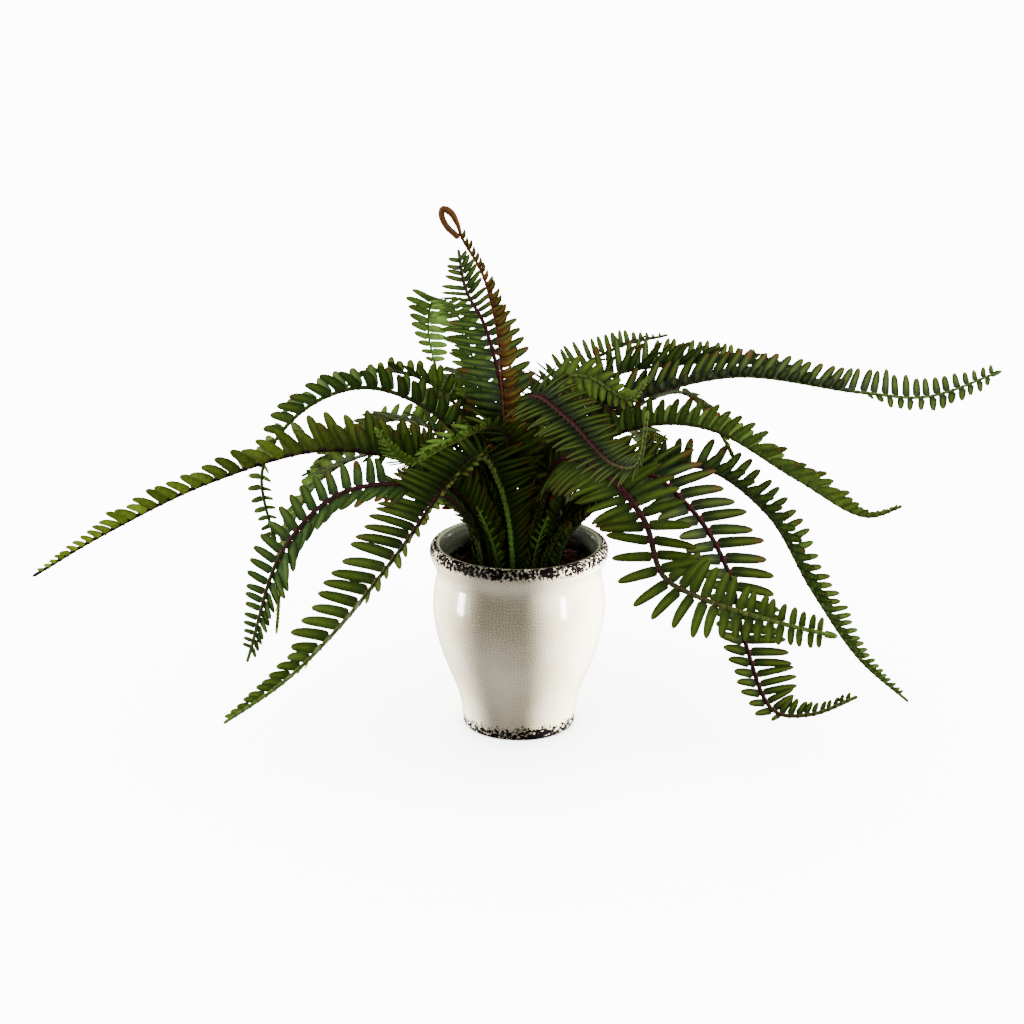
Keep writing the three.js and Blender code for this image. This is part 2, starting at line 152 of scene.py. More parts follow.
def coordinates(mesh: bpy.types.Mesh) -> Array:
    """Returns the places of a mesh's vertices, one row each."""
    places = np.empty(len(mesh.vertices) * 3, np.float32)
    mesh.vertices.foreach_get("co", places)
    return places.reshape(-1, 3).astype(float)


def set_coordinates(mesh: bpy.types.Mesh, places: Array) -> None:
    """Moves a mesh's vertices to new places, one row each."""
    mesh.vertices.foreach_set("co", places.astype(np.float32).ravel())
    mesh.update()


def store(mesh: bpy.types.Mesh, name: str, kind: str, values: Array) -> None:
    """Stores one value for each vertex of a mesh.

    Args:
        mesh: The mesh.
        name: The attribute's name.
        kind: Its type, as Blender names it.
        values: The values, one row for each vertex.
    """
    attribute = mesh.attributes.new(name, kind, "POINT")
    part = {"FLOAT_COLOR": "color", "FLOAT_VECTOR": "vector", "FLOAT": "value"}[kind]
    attribute.data.foreach_set(part, values.astype(np.float32).ravel())


def add_object(name: str, data: bpy.types.ID) -> bpy.types.Object:
    """Puts a mesh, a light or a camera into the scene.

    Args:
        name: The object's name.
        data: What it shows.

    Returns:
        The object.
    """
    piece = bpy.data.objects.new(name, data)
    bpy.context.scene.collection.objects.link(piece)
    return piece


def turn_shape(name: str, rings: Sequence[Pair], sides: int) -> bpy.types.Object:
    """Raises a turned shape from a disc, ring by ring, as on a wheel, and closes it with a last disc.

    Args:
        name: The object's name.
        rings: Radius and height of each ring, in millimetres, from the disc that it starts from.
        sides: How many sides each ring has.

    Returns:
        The closed shape, in metres.
    """
    deselect_all()
    radius, height = rings[0]
    bpy.ops.mesh.primitive_circle_add(
        vertices=sides, radius=radius * MM, fill_type="NGON", location=(0, 0, height * MM)
    )
    piece = bpy.context.object
    piece.name = name
    bpy.ops.object.transform_apply(location=True, rotation=True, scale=True)
    edit_all()
    for next_radius, next_height in rings[1:]:
        bpy.ops.mesh.extrude_region_move(
            TRANSFORM_OT_translate={"value": (0, 0, (next_height - height) * MM)}
        )
        scale = next_radius / radius
        bpy.ops.transform.resize(value=(scale, scale, 1), center_override=(0, 0, next_height * MM))
        radius, height = next_radius, next_height
    face_outward()
    return piece


def hand_over(piece: bpy.types.Object, slot: str, *nodes: str) -> None:
    """Lets a finished piece ride on the body and stand for its solids.

    Args:
        piece: The finished piece.
        slot: The name of a material slot, which is not used.
        *nodes: The solids that it stands for.
    """
    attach(piece, BODY)
    if nodes:
        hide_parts(*nodes)
    log.info("%s: %d faces", piece.name, len(piece.data.polygons))


# ---------------------------------------------------------------- shader helpers

Socket = bpy.types.NodeSocket


class Shading:
    """The node tree of one material, with short ways to add the nodes that the finishes share."""

    def __init__(self, name: str) -> None:
        """Starts a material with a principled shader.

        Args:
            name: The material's name.
        """
        self.material = bpy.data.materials.new(name)
        self.material.use_nodes = True
        self.tree = self.material.node_tree
        self.shader = self.tree.nodes["Principled BSDF"]
        self.columns = 0

    def add(self, kind: str, **settings: object) -> bpy.types.Node:
        """Adds a node.

        Args:
            kind: The node's type, as Blender names it.
            **settings: Values for the node's own properties.

        Returns:
            The new node.
        """
        node = self.tree.nodes.new(kind)
        self.columns += 1
        node.location = (-220 * (self.columns % 9) - 300, 260 - 220 * (self.columns // 9))
        for name, value in settings.items():
            setattr(node, name, value)
        return node

    def plug(self, source: object, target: Socket) -> None:
        """Links a socket to another one, or sets the target to a plain value."""
        if isinstance(source, bpy.types.NodeSocket):
            self.tree.links.new(source, target)
        else:
            target.default_value = source

    def set(self, **values: float) -> None:
        """Sets plain values on the shader's own sockets, with underscores in place of spaces."""
        for name, value in values.items():
            self.shader.inputs[name.replace("_", " ")].default_value = value

    def math(self, operation: str, *inputs: object, clamp: bool = False) -> Socket:
        """Adds a math node.

        Args:
            operation: What it works out.
            *inputs: Its one to three inputs.
            clamp: Whether the result is held between 0 and 1.

        Returns:
            The result's socket.
        """
        node = self.add("ShaderNodeMath", operation=operation, use_clamp=clamp)
        for source, target in zip(inputs, node.inputs):
            self.plug(source, target)
        return node.outputs[0]

    def times(self, first: object, second: object) -> Socket:
        """Multiplies two values."""
        return self.math("MULTIPLY", first, second)

    def line(self, value: object, slope: object, base: object) -> Socket:
        """Returns a value times a slope, on top of a base."""
        return self.math("MULTIPLY_ADD", value, slope, base)

    def smooth(self, value: object, low: float, high: float) -> Socket:
        """Adds a smooth step.

        Args:
            value: What is tested.
            low: Where the result is 0.
            high: Where the result is 1.

        Returns:
            The socket of the step, between 0 and 1.
        """
        node = self.add("ShaderNodeMapRange", interpolation_type="SMOOTHSTEP")
        self.plug(value, node.inputs["Value"])
        if low < high:
            ends = (low, high, 0.0, 1.0)
        else:
            ends = (high, low, 1.0, 0.0)
        for name, end in zip(("From Min", "From Max", "To Min", "To Max"), ends):
            node.inputs[name].default_value = end
        return node.outputs["Result"]

    def mix(self, share: object, first: object, second: object) -> Socket:
        """Mixes two colours, each a socket or a plain colour.

        Args:
            share: How much of the second colour there is.
            first: The colour at share 0.
            second: The colour at share 1.

        Returns:
            The mixed colour's socket.
        """
        node = self.add("ShaderNodeMix", data_type="RGBA", clamp_factor=True)
        self.plug(share, node.inputs["Factor"])
        for source, target in ((first, node.inputs[6]), (second, node.inputs[7])):
            self.plug((*source, 1.0) if isinstance(source, tuple) else source, target)
        return node.outputs[2]

    def noise(self, vector: Socket, scale: float, detail: float = 3.0,
              roughness: float = 0.5) -> Socket:
        """Adds a noise texture.

        Args:
            vector: The coordinates that it reads.
            scale: How many lumps there are in a metre.
            detail: How many finer layers it has.
            roughness: How strong the finer layers are.

        Returns:
            The socket of the noise, about 0.2 to 0.8.
        """
        node = self.add("ShaderNodeTexNoise")
        self.plug(vector, node.inputs["Vector"])
        node.inputs["Scale"].default_value = scale
        node.inputs["Detail"].default_value = detail
        node.inputs["Roughness"].default_value = roughness
        return node.outputs["Fac"]

    def place(self) -> Socket:
        """Returns the Object coordinates, which are metres from the pot's foot."""
        return self.add("ShaderNodeTexCoord").outputs["Object"]

    def parts(self, vector: Socket) -> tuple[Socket, Socket, Socket]:
        """Returns the three parts of a vector."""
        node = self.add("ShaderNodeSeparateXYZ")
        self.plug(vector, node.inputs[0])
        return node.outputs[0], node.outputs[1], node.outputs[2]

    def attribute(self, name: str) -> bpy.types.Node:
        """Returns a node that reads one of the piece's own attributes."""
        return self.add("ShaderNodeAttribute", attribute_name=name)

    def bump(self, height: Socket, distance: float, strength: float = 1.0,
             onto: Socket | None = None) -> Socket:
        """Adds a bump node.

        Args:
            height: What stands up, 0 to 1.
            distance: How far 1 stands up, in metres.
            strength: How much of it shows.
            onto: The normal of an earlier bump.

        Returns:
            The bumped normal's socket.
        """
        node = self.add("ShaderNodeBump")
        node.inputs["Strength"].default_value = strength
        node.inputs["Distance"].default_value = distance
        self.plug(height, node.inputs["Height"])
        if onto is not None:
            self.plug(onto, node.inputs["Normal"])
        return node.outputs["Normal"]

    def finish(self, colour: Socket, roughness: object,
               normal: Socket | None = None) -> bpy.types.Material:
        """Links the colour, roughness and normal to the shader.

        Args:
            colour: The colour's socket.
            roughness: The roughness, as a socket or a plain value.
            normal: The bumped normal, if there is one.

        Returns:
            The finished material.
        """
        self.plug(colour, self.shader.inputs["Base Color"])
        self.plug(roughness, self.shader.inputs["Roughness"])
        if normal is not None:
            self.plug(normal, self.shader.inputs["Normal"])
        return self.material


# ---------------------------------------------------------------- finishes


@dataclass(frozen=True)
class CrackleGlaze:
    """Off-white crackle glaze, with dark sponged bands at the lip and the foot."""

    white: Colour = srgb(238, 226, 195)
    shade: Colour = srgb(223, 209, 174)
    crack: Colour = srgb(132, 116, 96)
    sponge: Colour = srgb(12, 7, 9)
    cell: float = 2.3 * MM
    lip_band: Pair = (127.8 * MM, 134.9 * MM)
    foot_band: float = 11.0 * MM
    mean_radius: float = 56 * MM
    waver: Pair = (3 * MM, 2 * MM)
    evenness: float = 0.75
    crack_shows: Pair = (0.2, 0.62)
    dark_from: Pair = (0.653, 0.673)

    def material(self) -> bpy.types.Material:
        """Builds the outside glaze.

        Returns:
            The material.
        """
        shading = Shading("crackle_glaze")
        place = shading.place()
        x, y, height = shading.parts(place)
        turn = shading.times(shading.math("ARCTAN2", y, x), self.mean_radius)
        flat = shading.add("ShaderNodeCombineXYZ")
        waver = shading.noise(place, 90)
        shading.plug(shading.line(waver, self.waver[0], turn), flat.inputs[0])
        shading.plug(shading.line(waver, self.waver[1], height), flat.inputs[1])
        cells = shading.add("ShaderNodeTexVoronoi", voronoi_dimensions="2D", feature="DISTANCE_TO_EDGE")
        shading.plug(flat.outputs[0], cells.inputs["Vector"])
        cells.inputs["Scale"].default_value = 1 / self.cell
        cells.inputs["Randomness"].default_value = self.evenness
        crack = shading.smooth(cells.outputs["Distance"], 0.1, 0.0)
        cloud = shading.smooth(shading.noise(place, 22, 4), 0.35, 0.65)
        tint = shading.mix(cloud, self.white, self.shade)
        visible = shading.times(crack, shading.line(cloud, *self.crack_shows))
        tint = shading.mix(visible, tint, self.crack)
        sponge = self.sponged(shading, place, height)
        tint = shading.mix(sponge, tint, self.sponge)
        roughness = shading.line(sponge, 0.5, 0.1)
        for name, slope, base in (("Coat Weight", -0.35, 0.35), ("Specular IOR Level", -0.48, 0.5)):
            shading.plug(shading.line(sponge, slope, base), shading.shader.inputs[name])
        throwing = shading.noise(self.stretched(shading, place), 1.0, 2)
        normal = shading.bump(throwing, 0.0006, 0.35)
        normal = shading.bump(shading.math("SUBTRACT", 1.0, crack), 0.00005, 0.4, normal)
        shading.set(Coat_Roughness=0.05)
        return shading.finish(tint, roughness, normal)

    @staticmethod
    def stretched(shading: Shading, place: Socket) -> Socket:
        """Returns coordinates in which noise forms the level rings of the wheel."""
        node = shading.add("ShaderNodeMapping")
        shading.plug(place, node.inputs["Vector"])
        node.inputs["Scale"].default_value = (6, 6, 110)
        return node.outputs[0]

    def sponged(self, shading: Shading, place: Socket, height: Socket) -> Socket:
        """Works out where the dark sponging of the lip and the foot lies.

        Args:
            shading: The material that is built.
            place: Its Object coordinates.
            height: The height among them.

        Returns:
            The socket of the mask, 1 where it is dark.
        """
        low, high = self.lip_band
        lip = shading.times(
            shading.smooth(height, low - 3 * MM, low + 2 * MM),
            shading.smooth(height, high + 0.25 * MM, high - 0.35 * MM),
        )
        foot = shading.smooth(height, self.foot_band + 3 * MM, self.foot_band - 7 * MM)
        band = shading.math("MAXIMUM", lip, foot)
        blots = shading.noise(place, 480, 4, 0.68)
        broad = shading.noise(place, 70, 1)
        level = shading.math("ADD", shading.times(blots, 0.85), shading.times(broad, 0.2))
        level = shading.line(band, 0.2, level)
        edge = shading.smooth(height, 3.2 * MM, 0.8 * MM)
        level = shading.line(edge, 0.03, level)
        return shading.times(shading.smooth(level, *self.dark_from), shading.smooth(band, 0.02, 0.12))


@dataclass(frozen=True)
class InsideGlaze:
    """Grey-green glaze of the inside, with rings from the wheel."""

    # Partly the glaze's own grey green, partly painted shade: both colours are darkened for the plant's
    # shadow, which the pot's lamps don't cast.
    light: Colour = srgb(46, 52, 40)
    dark: Colour = srgb(24, 24, 18)
    edge: Colour = srgb(100, 98, 78)
    edge_band: Pair = (133.2 * MM, 134.2 * MM)

    def material(self) -> bpy.types.Material:
        """Builds the inside glaze.

        Returns:
            The material.
        """
        shading = Shading("inside_glaze")
        place = shading.place()
        height = shading.parts(place)[2]
        rings = shading.noise(CrackleGlaze.stretched(shading, place), 1.6, 3)
        tint = shading.mix(shading.smooth(rings, 0.35, 0.65), self.light, self.dark)
        tint = shading.mix(shading.smooth(height, *self.edge_band), tint, self.edge)
        normal = shading.bump(rings, 0.0012, 0.6)
        shading.set(Coat_Weight=0.4, Coat_Roughness=0.06)
        return shading.finish(tint, 0.16, normal)


@dataclass(frozen=True)
class EarthFinish:
    """Peat between the bark, or the bark itself."""

    name: str
    dark: Colour
    light: Colour
    grain: float

    def material(self) -> bpy.types.Material:
        """Builds the material.

        Returns:
            The material.
        """
        shading = Shading(self.name)
        place = shading.place()
        coarse = shading.noise(place, self.grain, 6, 0.65)
        fine = shading.noise(place, self.grain * 5, 4)
        chip = shading.attribute("tone").outputs["Fac"]
        share = shading.smooth(shading.line(chip, 0.5, coarse), 0.45, 1.0)
        tint = shading.mix(share, self.dark, self.light)
        normal = shading.bump(shading.line(fine, 0.4, coarse), 0.0012, 0.9)
        return shading.finish(tint, shading.line(fine, 0.3, 0.65), normal)


@dataclass(frozen=True)
class LeafFinish:
    """Satin leaflets. Their tint, and where a point lies on its leaflet, are attributes of the mesh."""

    stalk: Colour = srgb(70, 16, 20)
    blush: Colour = srgb(104, 38, 24)
    # Colour of the painted highlight down the middle of each leaflet.
    painted_highlight: Colour = srgb(128, 150, 40)
    midrib: Colour = srgb(150, 176, 96)
    shadow: Colour = (0.004, 0.012, 0.004)

    def material(self) -> bpy.types.Material:
        """Builds the leaflets' material.

        Returns:
            The material.
        """
        shading = Shading("leaflets")
        place = shading.place()
        tint = shading.attribute("tint").outputs["Color"]
        along, across, chance = shading.parts(shading.attribute("leaflet").outputs["Vector"])
        reddish, waxy, _ = shading.parts(shading.attribute("habit").outputs["Vector"])
        side = shading.math("ABSOLUTE", across)
        mottle = shading.noise(place, 260, 4, 0.6)
        dark = shading.mix(0.42, tint, self.shadow)
        tint = shading.mix(shading.smooth(mottle, 0.3, 0.7), tint, dark)
        vein = shading.math("SINE", shading.line(along, 90.0, shading.times(side, -9.0)))
        vein = shading.line(vein, 0.5, 0.5)
        tint = shading.mix(shading.times(vein, 0.07), tint, dark)
        # Painted highlight: the middle of each leaflet is lightened towards a yellow green, as light on a
        # cupped blade.
        painted_highlight = shading.mix(0.3, tint, self.painted_highlight)
        middle = shading.times(shading.smooth(side, 0.8, 0.1), shading.smooth(along, 0.1, 0.5))
        tint = shading.mix(shading.times(middle, 0.75), tint, painted_highlight)
        midrib = shading.times(shading.smooth(side, 0.06, 0.0), 0.18)
        tint = shading.mix(midrib, tint, self.midrib)
        # Painted shade: the margins of each leaflet are darkened.
        tint = shading.mix(shading.times(shading.smooth(side, 0.5, 1.0), 0.8), tint, dark)
        level = shading.line(mottle, 0.22, along)
        level = shading.line(chance, 0.3, level)
        tipped = shading.math("MULTIPLY", shading.smooth(level, 0.98, 1.18), reddish, clamp=True)
        tint = shading.mix(tipped, tint, self.blush)
        stalk = shading.times(shading.smooth(along, 0.07, 0.025), waxy)
        tint = shading.mix(stalk, tint, self.stalk)
        relief = shading.line(vein, 0.25, mottle)
        normal = shading.bump(relief, 0.00035, 0.5)
        roughness = shading.line(mottle, 0.3, 0.38)
        shading.set(Specular_IOR_Level=0.06)
        return shading.finish(tint, roughness, normal)


@dataclass(frozen=True)
class RibFinish:
    """Ribs and stalks, with fine lengthwise grain and darker joints."""

    joint: Colour = srgb(60, 14, 18)
    shadow: Colour = (0.006, 0.006, 0.004)

    def material(self) -> bpy.types.Material:
        """Builds the ribs' material.

        Returns:
            The material.
        """
        shading = Shading("ribs")
        place = shading.place()
        tint = shading.attribute("tint").outputs["Color"]
        swelling, redness, _ = shading.parts(shading.attribute("leaflet").outputs["Vector"])
        grain = shading.noise(place, 520, 4, 0.7)
        dark = shading.mix(0.55, tint, self.shadow)
        tint = shading.mix(shading.smooth(grain, 0.35, 0.68), tint, dark)
        tint = shading.mix(shading.times(swelling, redness), tint, self.joint)
        normal = shading.bump(grain, 0.0006, 0.7)
        shading.set(Specular_IOR_Level=0.12)
        return shading.finish(tint, shading.line(grain, 0.3, 0.45), normal)


@dataclass(frozen=True)
class Palette:
    """The colours of a frond from base to tip, and how red its leaflets' tips and stalks are."""

    leaf: Colour
    leaf_tip: Colour
    rib: Colour
    rib_tip: Colour
    red_tips: float = 0.0
    red_stalks: float = 1.0
    rib_base: Colour = srgb(48, 74, 26)


MAROON = srgb(50, 12, 16)
BROWN_BLACK = srgb(32, 20, 16)
STEM_GREEN = srgb(76, 104, 36)
TIP_GREEN = srgb(104, 136, 50)


class Tone(Enum):
    """The ways in which fronds of this fern are coloured."""

    DEEP = Palette(srgb(32, 50, 22), srgb(60, 82, 32), BROWN_BLACK, STEM_GREEN, 0.6)
    FRONT_LEFT = Palette(srgb(48, 68, 22), srgb(86, 114, 36), MAROON, TIP_GREEN, 0.35,
                         rib_base=srgb(136, 188, 76))
    CROWN = Palette(srgb(30, 48, 20), srgb(92, 126, 46), MAROON, TIP_GREEN, 0.35)
    DEEP_MAROON = Palette(srgb(36, 52, 20), srgb(86, 112, 38), MAROON, TIP_GREEN, 0.5)
    OLIVE = Palette(srgb(50, 68, 22), srgb(80, 102, 34), MAROON, STEM_GREEN, 0.35)
    OLIVE_BRIGHT = Palette(srgb(52, 72, 22), srgb(98, 126, 44), MAROON, TIP_GREEN, 0.25)
    RUSTY = Palette(srgb(42, 58, 24), srgb(74, 94, 34), BROWN_BLACK, STEM_GREEN, 1.0)
    SUNLIT = Palette(srgb(34, 47, 15), srgb(142, 168, 50), BROWN_BLACK, BROWN_BLACK, 0.3)
    BLUE_GREEN = Palette(srgb(32, 52, 28), srgb(58, 84, 38), MAROON, STEM_GREEN, 0.7)
    PALE = Palette(srgb(84, 116, 46), srgb(112, 144, 64), STEM_GREEN, TIP_GREEN, 0.0, 0.0)
    SHOOT = Palette(srgb(58, 92, 32), srgb(92, 130, 48), STEM_GREEN, TIP_GREEN, 0.0, 0.0)
    COPPERY = Palette(srgb(104, 56, 24), srgb(104, 62, 24), srgb(84, 42, 20), srgb(112, 68, 26), 0.0, 0.4)


# ---------------------------------------------------------------- the fronds' plans


Course = tuple[Pair, ...]


def level(value: float) -> Course:
    """Returns a course that has one value all the way."""
    return ((0.0, value),)


@dataclass(frozen=True)
class Row:
    """One row of leaflets, where it has its own lengths in millimetres, lean and fold in degrees."""

    length: Course
    lean: Course
    fold: Course

    def behind(self, shorter: float, fold: float) -> "Row":
        """Returns the row on the rib's other side: shorter, at its own fold, behind this one."""
        return Row(tuple((share, value * shorter) for share, value in self.length), self.lean,
                   tuple((share, fold if value > 30 else value) for share, value in self.fold))


@dataclass(frozen=True)
class FrondPlan:
    """One frond, in millimetres and degrees.

    The rib lies on an upright surface that leaves the pot's axis at a heading from +X and turns by some
    degrees in each 100 mm of reach. The route is reach and height. A course gives values at shares of
    the rib's length: the fold raises both rows of leaflets, the roll turns the blade about its rib, and
    the lean points the leaflets at the frond's tip. The stagger sets the left row back by a share of
    the pitch, and a higher ripening keeps the dark colour of the base further along.
    """

    name: str
    heading: float
    turn: float
    root: float
    leaf: float
    route: tuple[Pair, ...]
    tone: Tone
    fold: Course = level(30)
    roll: Course = level(0)
    lean: Course = ((0, 4), (1, 28))
    widest: float = 8.4
    spacing: float = 1.15
    fullness: float = 2.2
    slender: float = 1.0
    bare_stalk: float = 5.0
    bare_tip: float = 0.0
    slot: str = "leaf"
    right: Row | None = None
    left: Row | None = None
    pitch: Course | None = None
    last_leaf: Pair = (9.0, 2.2)
    crown: float = 100.0
    breadth: float = 0.36
    green_stalk: float = 0.26
    ripe_rib: float = 0.45
    hook: float = 0.08
    curl: float = 0.0
    # Painted light and shade: scales the colour of the frond's leaflets, so that fronds of one fern look
    # lit or shaded.
    light: float = 1.0
    stagger: float = 0.0
    ripening: float = 1.5

    def row(self, hand: int) -> Row | None:
        """Returns the row on the rib's right, hand 1, or left, hand -1, if it differs from the other."""
        return self.right if hand > 0 else self.left

    def place(self, reach: float, height: float) -> Array:
        """Returns the place at a reach and a height."""
        angle = math.radians(self.heading + self.turn * reach / 100)
        return np.array([reach * math.cos(angle), reach * math.sin(angle), height])

    @staticmethod
    def on_course(course: Course, share: float) -> float:
        """Returns a course's value at a share of the way."""
        return float(np.interp(share, [stop[0] for stop in course], [stop[1] for stop in course]))


def shoot(name: str, heading: float, root: float, route: tuple[Pair, ...]) -> FrondPlan:
    """Plans one of the small light green shoots.

    Args:
        name: Its name.
        heading: Its heading from +X, in degrees.
        root: How far from the pot's axis it stands, in millimetres.
        route: The reach and height of its route, in millimetres.

    Returns:
        The shoot's plan.
    """
    return FrondPlan(name, heading, 0, root, 11, route, Tone.SHOOT, widest=2.3, pitch=level(7),
                     slender=0.5, slot="shoot", crown=0, fullness=3, last_leaf=(6, 1.0))


LEFT_LONG_NEAR = Row(
    ((0, 30), (0.45, 29), (0.55, 26), (0.62, 21.5), (0.7, 19.5), (0.8, 17), (0.86, 10.5), (0.92, 7.5),
     (1, 4)),
    ((0, 24), (0.5, 18), (0.65, 14), (1, 26)), level(65),
)
LEFT_ARCHED_NEAR = Row(
    ((0, 26), (0.5, 25), (0.66, 23), (0.72, 18), (0.8, 10), (0.87, 7), (1, 5)),
    ((0, 17), (0.6, 12), (0.66, 22), (0.75, 6), (1, 10)), ((0, 64), (0.72, 60), (0.85, 8)),
)
RIGHT_NEAR = Row(
    ((0, 24), (0.55, 24), (0.62, 22), (0.8, 22), (0.86, 15), (0.91, 8), (1, 3)),
    ((0, 10), (0.6, 14), (0.7, 40), (0.82, 35), (1, 42)), level(78),
)

